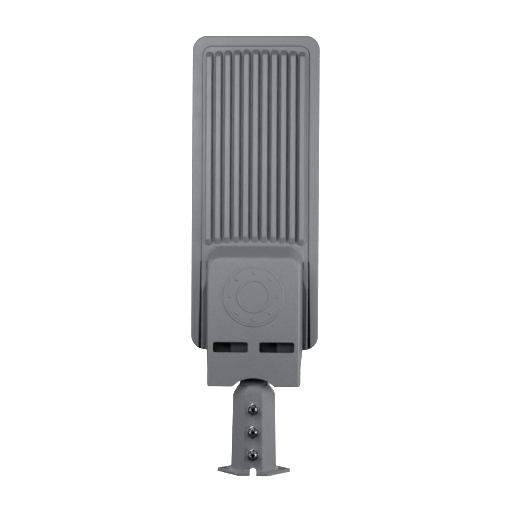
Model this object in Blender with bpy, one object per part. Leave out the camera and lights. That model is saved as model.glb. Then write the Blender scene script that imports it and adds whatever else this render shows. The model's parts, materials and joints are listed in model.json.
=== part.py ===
# Head of a split-type solar street lamp with its pole adaptor.
# Metres, +Z up. The origin is the centre of the flange's underside. The ribbed back of the head
# faces -Y and the light side faces +Y.
import math

import bmesh
import bpy
from mathutils import Matrix, Vector

# ---------------------------------------------------------------- driving sizes

GAP = 0.0003                # between pieces that rest on each other
RUN = 0.00015               # round a thread or a shank

# pole adaptor
FLATS_LOW = 0.0566          # across the octagon's flats at the flange
FLATS_HIGH = 0.0527         # and at the top of the sleeve, after the casting draft
SLEEVE_HEIGHT = 0.098
SOCKET_BORE = 0.046
SOCKET_ROOF = 0.006         # metal left over the socket
NOSE_HEIGHT = 0.0157        # from the sleeve up to the neck of the tongue
TONGUE_WIDTH = 0.034
TONGUE_RADIUS = 0.014
FLANGE_THICK = 0.004
FLANGE_SPAN = 0.0916
FLANGE_DEPTH = 0.062
FLANGE_FLAT = 0.038
FLANGE_TIP = 0.007
LUG_HOLE = 0.007
LUG_HOLE_SPAN = 0.075
NOTCH_WIDTH = 0.0074
NOTCH_HEIGHT = 0.0098
SCREW_COUNT = 3
SCREW_FIRST = 0.0266        # height of the lowest set screw
SCREW_PITCH = 0.0278
SET_SCREW_THREAD = 0.008
SET_SCREW_LENGTH = 0.020
SET_SCREW_STAND_OUT = 0.0055
KEY_FLATS = 0.004
KEY_DEPTH = 0.004
LOCK_NUT_FLATS = 0.013
LOCK_NUT_THICK = 0.0062

# tilt pivot
PIVOT_Z = 0.136
PIVOT_Y = -0.006
CHEEK_THICK = 0.005
CHEEK_GAP = 0.0006
PIVOT_BOLT = 0.010
PIVOT_CLEARANCE = 0.0005
PIVOT_SWING = 0.0008        # between the tongue's round end and the wall in front of it
PIVOT_FLATS = 0.016
PIVOT_HEAD_THICK = 0.0064
PIVOT_NUT_THICK = 0.008
PIVOT_STAND_OUT = 0.003
PIVOT_WASHER = 0.010
PIVOT_WASHER_THICK = 0.002
PIVOT_SPRING = 0.0088
PIVOT_SPRING_THICK = 0.0025

# head casting, outside
HEAD_WIDTH = 0.160
HEAD_LENGTH = 0.3938
HEAD_CORNER = 0.0185
HEAD_ABOVE_PIVOT = 0.0163   # from the pivot up to the rim's lower edge
RIM_FRONT = -0.005
SKIRT_EDGE = 0.011
RIM_BORDER = 0.013          # from the outline to the plateau's foot
PLATEAU_RISE = 0.003
PLATEAU_CORNER = 0.0108
RIB_PITCH = 0.0116
RIB_BASE = 0.0088
RIB_TOP = 0.0061
RIB_HEIGHT = 0.008
RIB_RUN = 0.008             # how far a rib's end slopes
RIB_MARGIN = 0.0043         # from the plateau's edge to the outer rib
RIB_END_MARGIN = 0.0062     # from the plateau's upper edge to the middle rib
RIB_TOP_SAG = 0.003         # the outer ribs start this much lower
RIB_LOW_SAG = 0.004
RIB_TO_BOX = 0.004
BOX_LENGTH = 0.1304         # of the box's foot, above the rim's lower edge
BOX_RISE = 0.028            # over the plateau
BOX_SIDE_DRAFT = 0.0035
BOX_END_RUN = 0.0147        # slope of the box's upper end
BOX_CORNER = 0.014
BOX_FILLET = 0.003
VALLEY_WIDTH = 0.0075       # strip of plateau on each side of the box
VALLEY_LENGTH = 0.111
VALLEY_DEPTH = 0.008
SLIT_WIDTH = 0.0026
SLIT_DEPTH = 0.0045
TAIL_LENGTH = 0.0424        # below the rim's lower edge
TAIL_WALL_DEPTH = 0.018     # of the tail's side walls at their tip
TAIL_STEP = 0.021           # height at which the side walls start to deepen
ARCH_FOOT = 0.0517
ARCH_WIDTH = 0.0354
ARCH_SHOULDER = 0.0066
ARCH_HEIGHT = 0.0109
WINDOW_WIDTH = 0.043
WINDOW_HEIGHT = 0.0127
WINDOW_INNER = 0.0068       # from the middle to a window
WINDOW_CORNER = 0.0024
DISC_RADIUS = 0.037
DISC_RISE = 0.001
DISC_HEIGHT = 0.0684        # of the disc's centre above the rim's lower edge
RING_RADIUS = 0.0195
RING_WIDTH = 0.0012
PIP_COUNT = 8
PIP_CIRCLE = 0.029
PIP_RADIUS = 0.0017

# head casting, inside
WALL = 0.0032
FLOOR = 0.004
BULKHEAD = 0.004
POCKET_HEIGHT = 0.0157      # of the tail's hollow above the rim's lower edge
SHELF_SET = 0.005           # step behind one half of each window
WINDOW_BACK_THICK = 0.0025
WINDOW_BACK_DROP = 0.007    # how far that wall reaches below the windows
SKIRT_WALL = 0.0043
SEAT = 0.0051               # where the lens frame and the cover sit
LENS_SEAT = 0.0005
SEAT_WIDTH = 0.0087
GASKET_SEAT_WIDTH = 0.005
GASKET_THICK = 0.0015
GASKET_EASE = 0.0004        # round a gasket in its seat
SEAT_RAISE = 0.002          # the gasket seat reaches this much nearer the frame's ends
DIVIDER = 0.0025
DIVIDER_ABOVE_RIM = 0.1372
COVER_SEAT = 0.003
COVER_SEAT_WIDTH = 0.008

# light side
BOARD_THICK = 0.0016
LED_SIZE = 0.005
LED_RISE = 0.0009
LENS_THICK = 0.0025
LENS_FIELD = 0.0022
LENS_COLUMNS = 4
LENS_PITCH_X = 0.027
LENS_PITCH_Z = 0.0265
LENS_RADIUS = 0.009
LENS_RISE = 0.0045
FRAME_THICK = 0.002
FRAME_LAP = 0.0085
FRAME_EDGE_Z = 0.016        # width of the frame's upper and lower bars
COVER_THICK = 0.0025
COVER_PANEL_RISE = 0.0015
SCREW_HEAD = 0.007
SCREW_HEAD_RISE = 0.0024
SCREW_SHANK = 0.0034
FRAME_SCREW_DEPTH = 0.0066
COVER_SCREW_DEPTH = 0.0044

# inside the compartment
CELL_DIAMETER = 0.0324
CELL_LENGTH = 0.0705
CELL_SPACING = 0.0332
HOLDER_THICK = 0.006
HOLDER_RECESS = 0.003
STRIP_THICK = 0.0005
CONTROLLER_DEPTH = 0.020
LEAD_DIAMETER = 0.0032
LEAD_HOLE = 0.004
BOARD_INSET = 0.003         # from the LED pocket's lower end to the board
LEAD_X = 0.016
LEAD_BEHIND = 0.0022        # the lead's centre over the panel's floor
PLUG_WIDTH = 0.008
TERMINAL_RADIUS = 0.005
GLAND_THREAD = 0.012
GLAND_FLATS = 0.015
GLAND_FLANGE = 0.004
GLAND_CLAMP = 0.004         # length of the clamping fingers under the flange
GLAND_BORE = 0.0072
GLAND_MOUTH = 0.0076
GLAND_LEAD = 0.0052
GLAND_NUT_LENGTH = 0.0095
GLAND_NUT_FLOOR = 0.0018
GLAND_NUT_RADIUS = 0.0078
GLAND_X = -0.040
BUTTON_THREAD = 0.010
BUTTON_BEZEL = 0.0066
BUTTON_BEZEL_RISE = 0.0022
BUTTON_WELL = 0.0038
BUTTON_CAP = 0.0034
BUTTON_CAP_RISE = 0.0036
BUTTON_DEPTH = 0.009
BUTTON_NUT_FLATS = 0.0118
BUTTON_NUT_THICK = 0.0022
BUTTON_X = 0.030
BUTTON_DROP = 0.0072        # below the compartment's upper end
INDICATOR_RADIUS = 0.004
INDICATOR_RISE = 0.0016

# ---------------------------------------------------------------- worked-out places

RIM_LOW = PIVOT_Z + HEAD_ABOVE_PIVOT
RIM_HIGH = RIM_LOW + HEAD_LENGTH
HALF = HEAD_WIDTH / 2
PLATEAU = RIM_FRONT - PLATEAU_RISE
PLATEAU_HALF = HALF - RIM_BORDER
PLATEAU_HIGH = RIM_HIGH - RIM_BORDER + 0.001
BOX_FRONT = PLATEAU - BOX_RISE
BOX_HALF = PLATEAU_HALF - VALLEY_WIDTH
BOX_TOP_HALF = BOX_HALF - BOX_SIDE_DRAFT
BOX_HIGH = RIM_LOW + BOX_LENGTH
TAIL_LOW = RIM_LOW - TAIL_LENGTH
TAIL_BACK = RIM_FRONT + 0.007           # how far back the tail's walls reach beside the rim
BOX_INSIDE = BOX_FRONT + WALL
CAVITY_HALF = BOX_TOP_HALF - WALL - 0.0013
RIB_HIGH = PLATEAU_HIGH - RIB_END_MARGIN
RIB_LOW = BOX_HIGH + RIB_TO_BOX
INNER_HALF = HALF - SKIRT_WALL
SEAT_HALF = INNER_HALF - SEAT_WIDTH
POCKET_HALF = SEAT_HALF - GASKET_SEAT_WIDTH
DIVIDER_LOW = RIM_LOW + DIVIDER_ABOVE_RIM
LENS_LOW = DIVIDER_LOW + DIVIDER
LENS_HIGH = RIM_HIGH - SKIRT_WALL
COVER_LOW = RIM_LOW + SKIRT_WALL
BULKHEAD_LOW = RIM_LOW + POCKET_HEIGHT
CAVITY_LOW = BULKHEAD_LOW + BULKHEAD
CAVITY_HIGH = BOX_HIGH - 0.0057
CAVITY_HIGH_FRONT = CAVITY_HIGH - BOX_END_RUN * 0.885
PANEL_FLOOR = PLATEAU + FLOOR
CHEEK_INNER = TONGUE_WIDTH / 2 + CHEEK_GAP
CHEEK_OUTER = CHEEK_INNER + CHEEK_THICK
TAIL_TIP_BACK = BOX_FRONT + TAIL_WALL_DEPTH
WINDOW_BACK = PIVOT_Y - TONGUE_RADIUS - PIVOT_SWING - WINDOW_BACK_THICK
WINDOW_BACK_LOW = RIM_LOW - WINDOW_BACK_DROP

SEAT_LOW = LENS_LOW + SEAT_WIDTH - SEAT_RAISE
SEAT_HIGH = LENS_HIGH - SEAT_WIDTH + SEAT_RAISE
BUTTON_PLACE = (BUTTON_X, CAVITY_HIGH - BUTTON_DROP)
INDICATOR_PLACE = (-BUTTON_X, CAVITY_HIGH - BUTTON_DROP)
GLAND_PLACE = (GLAND_X, PANEL_FLOOR - GLAND_FLATS / 2 - GAP)
LEAD_Y = PANEL_FLOOR + LEAD_BEHIND

ROUND = 20                  # sides of a large round
SMALL_ROUND = 16
TINY_ROUND = 10


# ---------------------------------------------------------------- materials


def material(name, colour, roughness, metallic=0.0, alpha=1.0):
    made = bpy.data.materials.new(name)
    made.use_nodes = True
    shader = made.node_tree.nodes["Principled BSDF"]
    shader.inputs["Base Color"].default_value = (*colour, 1.0)
    shader.inputs["Roughness"].default_value = roughness
    shader.inputs["Metallic"].default_value = metallic
    shader.inputs["Alpha"].default_value = alpha
    return made


def clear_scene():
    for thing in list(bpy.data.objects):
        bpy.data.objects.remove(thing, do_unlink=True)


# ---------------------------------------------------------------- outlines and solids


def arc(centre, radius, start, end, steps):
    """Points of an arc in a plane, from start to end in degrees, both ends included."""
    found = []
    for i in range(steps + 1):
        angle = math.radians(start + (end - start) * i / steps)
        found.append((centre[0] + radius * math.cos(angle), centre[1] + radius * math.sin(angle)))
    return found


def rounded_rect(low_x, high_x, low_z, high_z, radius, steps=5, low_radius=None):
    """Rounded rectangle, anticlockwise from its lower right corner."""
    low = radius if low_radius is None else low_radius
    corners = [
        (high_x - low, low_z + low, low, -90),
        (high_x - radius, high_z - radius, radius, 0),
        (low_x + radius, high_z - radius, radius, 90),
        (low_x + low, low_z + low, low, 180),
    ]
    points = []
    for x, z, r, start in corners:
        points += arc((x, z), r, start, start + 90, steps)
    return points


def circle(radius, sides, centre=(0.0, 0.0), turn=0.0):
    return arc(centre, radius, turn, turn + 360.0 * (sides - 1) / sides, sides - 1)


def add_object(name, mesh_data, skin, smooth=False):
    bmesh.ops.recalc_face_normals(mesh_data, faces=mesh_data.faces)
    mesh = bpy.data.meshes.new(name)
    mesh_data.to_mesh(mesh)
    mesh_data.free()
    if smooth:
        mesh.shade_smooth()
        mesh.set_sharp_from_angle(angle=math.radians(35))
    made = bpy.data.objects.new(name, mesh)
    bpy.context.scene.collection.objects.link(made)
    if skin is not None:
        mesh.materials.append(skin)
    return made


def loft_into(mesh_data, sections):
    """Closed skin through sections that all have the same number of points."""
    rings = [[mesh_data.verts.new(point) for point in section] for section in sections]
    count = len(rings[0])
    for lower, upper in zip(rings, rings[1:]):
        for i in range(count):
            j = (i + 1) % count
            mesh_data.faces.new((lower[i], lower[j], upper[j], upper[i]))
    mesh_data.faces.new(rings[0][::-1])
    mesh_data.faces.new(rings[-1])


def loft(name, sections, skin=None, smooth=False):
    mesh_data = bmesh.new()
    loft_into(mesh_data, sections)
    return add_object(name, mesh_data, skin, smooth)


def along_y(outline, y):
    """Places an outline of (x, z) points at depth y."""
    return [(x, y, z) for x, z in outline]


def along_x(outline, x):
    """Places an outline of (y, z) points at x."""
    return [(x, y, z) for y, z in outline]


def along_z(outline, z):
    """Places an outline of (x, y) points at height z."""
    return [(x, y, z) for x, y in outline]


PLACERS = {"X": along_x, "Y": along_y, "Z": along_z}


def prism(name, axis, outline, low, high, skin=None, smooth=False):
    place = PLACERS[axis]
    return loft(name, [place(outline, low), place(outline, high)], skin, smooth)


def block(name, low, high, skin=None):
    outline = [(low[0], low[2]), (high[0], low[2]), (high[0], high[2]), (low[0], high[2])]
    return prism(name, "Y", outline, low[1], high[1], skin)


def rod(name, axis, radius, low, high, centre=(0.0, 0.0), sides=SMALL_ROUND, skin=None):
    return prism(name, axis, circle(radius, sides, centre), low, high, skin, smooth=True)


def turned(name, axis, profile, centre, sides, skin=None, turn=0.0):
    """Stack of round sections: profile is a list of (place along the axis, radius)."""
    place = PLACERS[axis]
    sections = [place(circle(radius, sides, centre, turn), at) for at, radius in profile]
    return loft(name, sections, skin, smooth=True)


def boolean(target, other, operation):
    change = target.modifiers.new(f"{operation.lower()} {other.name}", "BOOLEAN")
    change.operation = operation
    change.solver = "EXACT"
    change.object = other
    other.hide_render = True
    other.display_type = "WIRE"
    other.parent = target.parent
    return target


def cut(target, *cutters):
    for cutter in cutters:
        boolean(target, cutter, "DIFFERENCE")


def join(target, *others):
    for other in others:
        boolean(target, other, "UNION")


def bent_tube(name, points, diameter, skin):
    """Tube on a smooth curve through the points, with filled ends."""
    knots = [Vector(points[0])] + [Vector(point) for point in points] + [Vector(points[-1])]
    steps = 5
    line = []
    for a, b, c, d in zip(knots, knots[1:], knots[2:], knots[3:]):
        for i in range(steps):
            t = i / steps
            line.append(
                0.5
                * (
                    2 * b
                    + (c - a) * t
                    + (2 * a - 5 * b + 4 * c - d) * t**2
                    + (3 * b - a - 3 * c + d) * t**3
                )
            )
    line.append(knots[-1])
    curve = bpy.data.curves.new(name, "CURVE")
    curve.dimensions = "3D"
    curve.bevel_depth = diameter / 2
    curve.bevel_resolution = 2
    curve.use_fill_caps = True
    spline = curve.splines.new("POLY")
    spline.points.add(len(line) - 1)
    for point, place in zip(spline.points, line):
        point.co = (*place, 1.0)
    curve.materials.append(skin)
    made = bpy.data.objects.new(name, curve)
    bpy.context.scene.collection.objects.link(made)
    return made


def hold(piece, parent):
    """Parents a piece and leaves it where it is."""
    piece.parent = parent
    piece.matrix_parent_inverse = Matrix.Translation(parent.location).inverted()


def empty(name, place, parent=None):
    made = bpy.data.objects.new(name, None)
    made.empty_display_size = 0.02
    made.location = place
    bpy.context.scene.collection.objects.link(made)
    if parent is not None:
        made.parent = parent
        made.matrix_parent_inverse = Matrix.Translation(parent.location).inverted()
    return made


# ---------------------------------------------------------------- pole adaptor


def octagon(width, front, back):
    """Rectangle with corners cut as on a regular octagon of its width."""
    cut_off = width * (1 - math.sqrt(0.5))
    half = width / 2
    return [
        (half, front + cut_off),
        (half, back - cut_off),
        (half - cut_off, back),
        (cut_off - half, back),
        (-half, back - cut_off),
        (-half, front + cut_off),
        (cut_off - half, front),
        (half - cut_off, front),
    ]


def sleeve_sections():
    """Drafted octagon, then a rounded nose that draws in to the tongue."""
    sections = [
        along_z(octagon(FLATS_LOW, -FLATS_LOW / 2, FLATS_LOW / 2), 0.0),
        along_z(octagon(FLATS_HIGH, -FLATS_HIGH / 2, FLATS_HIGH / 2), SLEEVE_HEIGHT),
    ]
    steps = 4
    front_end = PIVOT_Y - TONGUE_RADIUS
    back_end = PIVOT_Y + TONGUE_RADIUS
    for i in range(1, steps + 1):
        t = i / steps
        bow = 1 - math.sqrt(1 - (0.97 * t) ** 2)
        side = t**1.15
        width = FLATS_HIGH + (TONGUE_WIDTH - FLATS_HIGH) * side
        front = -FLATS_HIGH / 2 + (front_end + FLATS_HIGH / 2) * bow / 0.76
        back = FLATS_HIGH / 2 + (back_end - FLATS_HIGH / 2) * t
        sections.append(along_z(octagon(width, front, back), SLEEVE_HEIGHT + NOSE_HEIGHT * t))
    return sections


def flange_outline():
    half_span = FLANGE_SPAN / 2
    half_depth = FLANGE_DEPTH / 2
    half_flat = FLANGE_FLAT / 2
    half_tip = FLANGE_TIP / 2
    corner = 0.0018
    quarter = [
        (half_span, half_tip - corner),
        (half_span - corner, half_tip + 0.0006),
        (half_span - 0.006, half_tip + 0.0045),
        (half_flat + 0.004, half_depth - 0.005),
        (half_flat - 0.001, half_depth),
    ]
    back = quarter + [(-x, y) for x, y in quarter[::-1]]
    return back + [(x, -y) for x, y in back[::-1]]


def screw_heights():
    return [SCREW_FIRST + SCREW_PITCH * i for i in range(SCREW_COUNT)]


def facet_front(height):
    """Depth of the sleeve's front facet at a height."""
    share = height / SLEEVE_HEIGHT
    return -(FLATS_LOW + (FLATS_HIGH - FLATS_LOW) * share) / 2


def make_adaptor(paint, parent):
    body = loft("pole_adaptor", sleeve_sections(), paint)
    flange = prism("flange_blank", "Z", flange_outline(), 0.0, FLANGE_THICK)
    foot_low = octagon(FLATS_LOW + 0.006, -FLATS_LOW / 2 - 0.003, FLATS_LOW / 2 + 0.003)
    foot_high = octagon(FLATS_LOW - 0.0004, -FLATS_LOW / 2 + 0.0002, FLATS_LOW / 2 - 0.0002)
    foot = loft(
        "foot_fillet",
        [along_z(foot_low, FLANGE_THICK - 0.001), along_z(foot_high, FLANGE_THICK + 0.003)],
    )
    tongue_outline = [
        (PIVOT_Y - TONGUE_RADIUS, SLEEVE_HEIGHT + NOSE_HEIGHT - 0.004),
        (PIVOT_Y + TONGUE_RADIUS, SLEEVE_HEIGHT + NOSE_HEIGHT - 0.004),
    ] + arc((PIVOT_Y, PIVOT_Z), TONGUE_RADIUS, 0, 180, 12)
    tongue = prism("tongue_blank", "X", tongue_outline, -TONGUE_WIDTH / 2, TONGUE_WIDTH / 2)
    join(body, flange, foot, tongue)
    socket_high = SLEEVE_HEIGHT - SOCKET_ROOF
    cut(
        body,
        rod("socket_cutter", "Z", SOCKET_BORE / 2, -0.01, socket_high, sides=ROUND),
        rod(
            "pivot_hole_cutter",
            "X",
            PIVOT_BOLT / 2 + PIVOT_CLEARANCE,
            -TONGUE_WIDTH,
            TONGUE_WIDTH,
            (PIVOT_Y, PIVOT_Z),
        ),
    )
    for side in (-1, 1):
        centre = (side * LUG_HOLE_SPAN / 2, 0.0)
        name = f"lug_hole_cutter_{'left' if side < 0 else 'right'}"
        cut(body, rod(name, "Z", LUG_HOLE / 2, -0.01, FLANGE_THICK + 0.01, centre))
    arch_radius = NOTCH_WIDTH / 2
    notch = [(-arch_radius, -0.005), (arch_radius, -0.005)]
    notch += arc((0.0, NOTCH_HEIGHT - arch_radius), arch_radius, 0, 180, 8)
    cut(body, prism("notch_cutter", "Y", notch, -FLANGE_DEPTH, -SOCKET_BORE / 4))
    for i, height in enumerate(screw_heights()):
        cut(
            body,
            rod(
                f"screw_hole_cutter_{i + 1}",
                "Y",
                SET_SCREW_THREAD / 2 + RUN,
                -FLATS_LOW,
                -SOCKET_BORE / 4,
                (0.0, height),
            ),
        )
    hold(body, parent)


def hexagon(flats, centre, turn=0.0):
    return circle(flats / math.sqrt(3), 6, centre, turn)


def hex_nut(name, axis, flats, thick, bore, low, centre, skin, turn=0.0):
    """Nut with chamfered faces and a plain bore."""
    place = PLACERS[axis]
    ease = flats * 0.055
    rim = flats / math.sqrt(3)

    def ring(radius, at):
        return place(circle(radius, 6, centre, turn), at)

    nut = loft(
        name,
        [
            ring(rim - ease, low),
            ring(rim, low + ease * 0.6),
            ring(rim, low + thick - ease * 0.6),
            ring(rim - ease, low + thick),
        ],
        skin,
    )
    cutter = rod(f"{name}_bore", axis, bore / 2, low - 0.01, low + thick + 0.01, centre)
    cut(nut, cutter)
    return nut


def make_lock_screws(zinc, parent):
    radius = SET_SCREW_THREAD / 2
    for i, height in enumerate(screw_heights()):
        number = i + 1
        face = facet_front(height - LOCK_NUT_FLATS * 0.6) - GAP
        front = face - LOCK_NUT_THICK
        nut = hex_nut(
            f"lock_nut_{number}",
            "Y",
            LOCK_NUT_FLATS,
            LOCK_NUT_THICK,
            SET_SCREW_THREAD + 2 * RUN,
            front,
            (0.0, height),
            zinc,
            turn=90.0,
        )
        hold(nut, parent)
        tip = front - SET_SCREW_STAND_OUT
        point = tip + SET_SCREW_LENGTH
        slide = empty(f"set_screw_slide_{number}", (0.0, tip, height), parent)
        profile = [
            (tip, radius - 0.0007),
            (tip + 0.0007, radius),
            (point - 0.0012, radius),
            (point, radius - 0.0012),
        ]
        screw = turned(f"set_screw_{number}", "Y", profile, (0.0, height), 16, zinc)
        key = prism(
            f"hex_socket_{number}",
            "Y",
            hexagon(KEY_FLATS, (0.0, height), 30.0),
            tip - 0.001,
            tip + KEY_DEPTH,
        )
        cut(screw, key)
        hold(screw, slide)


# ---------------------------------------------------------------- head casting


def box_section(y):
    """Outline of the deep box at depth y: it narrows and shortens towards its front face."""
    share = (PLATEAU - y) / BOX_RISE
    half = BOX_HALF - BOX_SIDE_DRAFT * share
    high = BOX_HIGH - BOX_END_RUN * share
    return half, high


def box_blank():
    sections = []
    levels = [(TAIL_BACK, 0.0), (BOX_FRONT + BOX_FILLET, 0.0)]
    for angle in (30, 60, 90):
        lean = math.radians(angle)
        levels.append(
            (
                BOX_FRONT + BOX_FILLET * (1 - math.sin(lean)),
                BOX_FILLET * (1 - math.cos(lean)),
            )
        )
    for y, inset in levels:
        half, high = box_section(y)
        corner = BOX_CORNER - (PLATEAU - y) / BOX_RISE * 0.002 - inset
        outline = rounded_rect(
            -half + inset,
            half - inset,
            TAIL_LOW,
            high - inset,
            corner,
            low_radius=0.0005,
        )
        sections.append(along_y(outline, y))
    return loft("box_blank", sections)


def rib_places():
    room = PLATEAU_HALF - RIB_MARGIN - RIB_BASE / 2
    each_side = math.floor(room / RIB_PITCH + 1e-6)
    return [RIB_PITCH * i for i in range(-each_side, each_side + 1)], room


def rib_blank():
    """All ribs as one set of separate bodies, sunk a little into the plateau."""
    mesh_data = bmesh.new()
    places, room = rib_places()
    sink = 0.001
    slope = (RIB_BASE - RIB_TOP) / 2 / RIB_HEIGHT
    for x in places:
        share = (x / room) ** 2
        high = RIB_HIGH - RIB_TOP_SAG * share
        low = RIB_LOW - RIB_LOW_SAG * share
        foot = RIB_BASE / 2 + slope * sink
        head = RIB_TOP / 2
        foot_outline = arc((x, high - foot), foot, 0, 180, 6)
        foot_outline += arc((x, low + foot), foot, 180, 360, 6)
        head_outline = arc((x, high - RIB_RUN - head * 0.5), head, 0, 180, 6)
        head_outline += arc((x, low + RIB_RUN + head * 0.5), head, 180, 360, 6)
        # The top's ends are flattened, so that a rib ends in a steep rounded slope.
        flat = []
        for i, (px, pz) in enumerate(head_outline):
            middle = high - RIB_RUN if i < 7 else low + RIB_RUN
            flat.append((px, middle + (pz - middle) * 0.35))
        loft_into(
            mesh_data,
            [along_y(foot_outline, PLATEAU + sink), along_y(flat, PLATEAU - RIB_HEIGHT)],
        )
    return add_object("rib_blank", mesh_data, None)


def valley_cutter(side):
    """Wedge that grows towards the tail, between the box and the plateau's edge."""
    name = "left" if side < 0 else "right"
    low = RIM_LOW - 0.004
    high = low + VALLEY_LENGTH + 0.004
    near = BOX_HALF - 0.0006
    edge = PLATEAU_HALF - 0.0012
    over = PLATEAU - 0.002
    tip = [
        (side * near, over, high),
        (side * edge, over, high),
        (side * edge, PLATEAU, high),
        (side * near, PLATEAU + 0.0001, high),
    ]
    foot = [
        (side * near, over, low),
        (side * edge, over, low),
        (side * edge, PLATEAU + 0.0004, low),
        (side * near, PLATEAU + VALLEY_DEPTH, low),
    ]
    return loft(f"valley_cutter_{name}", [foot, tip])


def slit_cutter(side):
    name = "left" if side < 0 else "right"
    low = RIM_LOW - 0.004
    high = low + VALLEY_LENGTH + 0.004
    inner = PLATEAU_HALF - 0.0008
    outer = inner + SLIT_WIDTH
    thin = inner + SLIT_WIDTH * 0.4
    over = PLATEAU - 0.002
    tip = [
        (side * inner, over, high),
        (side * thin, over, high),
        (side * thin, RIM_FRONT + 0.0006, high),
        (side * inner, RIM_FRONT + 0.0006, high),
    ]
    foot = [
        (side * inner, over, low),
        (side * outer, over, low),
        (side * outer, RIM_FRONT + SLIT_DEPTH, low),
        (side * inner, RIM_FRONT + SLIT_DEPTH, low),
    ]
    return loft(f"slit_cutter_{name}", [foot, tip])


def rim_blank():
    ease = 0.0018
    sections = []
    for y, inset in (
        (SKIRT_EDGE, 0.0004),
        (SKIRT_EDGE - 0.0006, 0.0),
        (RIM_FRONT + ease, 0.0),
        (RIM_FRONT + ease * 0.3, ease * 0.3),
        (RIM_FRONT, ease),
    ):
        outline = rounded_rect(
            -HALF + inset, HALF - inset, RIM_LOW + inset, RIM_HIGH - inset, HEAD_CORNER - inset, 7
        )
        sections.append(along_y(outline, y))
    return loft("housing", sections)


def plateau_blank():
    ease = 0.0012
    low = RIM_LOW + 0.0008
    sections = []
    for y, inset in (
        (RIM_FRONT + 0.001, 0.0),
        (PLATEAU + ease, 0.0),
        (PLATEAU + ease * 0.3, ease * 0.3),
        (PLATEAU, ease),
    ):
        outline = rounded_rect(
            -PLATEAU_HALF + inset,
            PLATEAU_HALF - inset,
            low,
            PLATEAU_HIGH - inset,
            PLATEAU_CORNER - inset,
            low_radius=0.0004,
        )
        sections.append(along_y(outline, y))
    return loft("plateau_blank", sections)


def tray_cutters():
    """The stepped recesses on the light side, from the widest to the deepest."""
    past = SKIRT_EDGE + 0.01
    corner = HEAD_CORNER - SKIRT_WALL
    lens_recess = rounded_rect(
        -INNER_HALF, INNER_HALF, LENS_LOW, LENS_HIGH, corner, low_radius=0.003
    )
    cover_outline = rounded_rect(
        -INNER_HALF, INNER_HALF, COVER_LOW, DIVIDER_LOW, 0.003, low_radius=corner
    )
    gasket_seat = rounded_rect(-SEAT_HALF, SEAT_HALF, SEAT_LOW, SEAT_HIGH, 0.006)
    pocket = rounded_rect(
        -POCKET_HALF,
        POCKET_HALF,
        SEAT_LOW + GASKET_SEAT_WIDTH,
        SEAT_HIGH - GASKET_SEAT_WIDTH,
        0.004,
    )
    cover_seat = rounded_rect(
        -CAVITY_HALF - COVER_SEAT_WIDTH,
        CAVITY_HALF + COVER_SEAT_WIDTH,
        CAVITY_LOW - COVER_SEAT_WIDTH + SEAT_RAISE,
        CAVITY_HIGH + COVER_SEAT_WIDTH - SEAT_RAISE,
        0.004,
    )
    return (
        prism("lens_recess_cutter", "Y", lens_recess, SEAT, past),
        prism("cover_recess_cutter", "Y", cover_outline, SEAT, past),
        prism("lens_gasket_cutter", "Y", gasket_seat, LENS_SEAT, SEAT + 0.002),
        prism("led_pocket_cutter", "Y", pocket, PANEL_FLOOR, LENS_SEAT + 0.002),
        prism("cover_gasket_cutter", "Y", cover_seat, COVER_SEAT, SEAT + 0.002),
    )


def compartment_cutter():
    outline = [
        (BOX_INSIDE, CAVITY_LOW),
        (COVER_SEAT + 0.001, CAVITY_LOW),
        (COVER_SEAT + 0.001, CAVITY_HIGH),
        (PLATEAU, CAVITY_HIGH),
        (BOX_INSIDE, CAVITY_HIGH_FRONT),
    ]
    return prism("compartment_cutter", "X", outline, -CAVITY_HALF, CAVITY_HALF)


def tail_cutters():
    low = TAIL_LOW - 0.01
    behind = SKIRT_EDGE + 0.01
    hollow = [
        (BOX_INSIDE, low),
        (behind, low),
        (behind, RIM_LOW + GAP),
        (PLATEAU + 0.005, RIM_LOW + GAP),
        (PLATEAU + 0.005, BULKHEAD_LOW),
        (BOX_INSIDE, BULKHEAD_LOW),
    ]
    wedge = [
        (TAIL_TIP_BACK, low),
        (behind, low),
        (behind, RIM_LOW - 0.0004),
        (TAIL_BACK - 0.001, RIM_LOW - 0.0004),
        (TAIL_TIP_BACK, TAIL_LOW + TAIL_STEP),
    ]
    return (
        prism("tail_hollow_cutter", "X", hollow, -CAVITY_HALF, CAVITY_HALF),
        prism("tail_wedge_cutter", "X", wedge, -HEAD_WIDTH, HEAD_WIDTH),
    )


def cheek_outline():
    """Web from the tail's front wall to the pivot, kept behind the windows' rear wall."""
    top = RIM_LOW + 0.001
    outline = [(BOX_INSIDE - 0.001, TAIL_LOW + 0.004), (PIVOT_Y, PIVOT_Z - TONGUE_RADIUS)]
    outline += arc((PIVOT_Y, PIVOT_Z), TONGUE_RADIUS, -75, 0, 6)
    outline += [
        (PIVOT_Y + TONGUE_RADIUS, top),
        (PLATEAU + 0.006, top),
        (PLATEAU + 0.006, BULKHEAD_LOW + 0.001),
        (WINDOW_BACK + 0.001, BULKHEAD_LOW + 0.001),
        (WINDOW_BACK + 0.001, WINDOW_BACK_LOW + 0.001),
        (BOX_INSIDE - 0.001, WINDOW_BACK_LOW - 0.002),
    ]
    return outline


def arch_cutter():
    """Notch in the tail's front wall that clears the adaptor when the head tilts back."""
    foot = ARCH_FOOT / 2
    half = ARCH_WIDTH / 2
    shoulder = TAIL_LOW + ARCH_SHOULDER
    rise = ARCH_HEIGHT - ARCH_SHOULDER
    radius = (half**2 + rise**2) / (2 * rise)
    lean = math.degrees(math.asin(half / radius))
    below = TAIL_LOW - 0.002
    outline = [(-foot - 0.0018, below), (foot + 0.0018, below), (foot, TAIL_LOW)]
    outline += arc((0.0, shoulder + rise - radius), radius, 90 - lean, 90 + lean, 10)
    outline.append((-foot, TAIL_LOW))
    return prism("arch_cutter", "Y", outline, BOX_FRONT - 0.01, BOX_INSIDE + 0.004)


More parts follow.
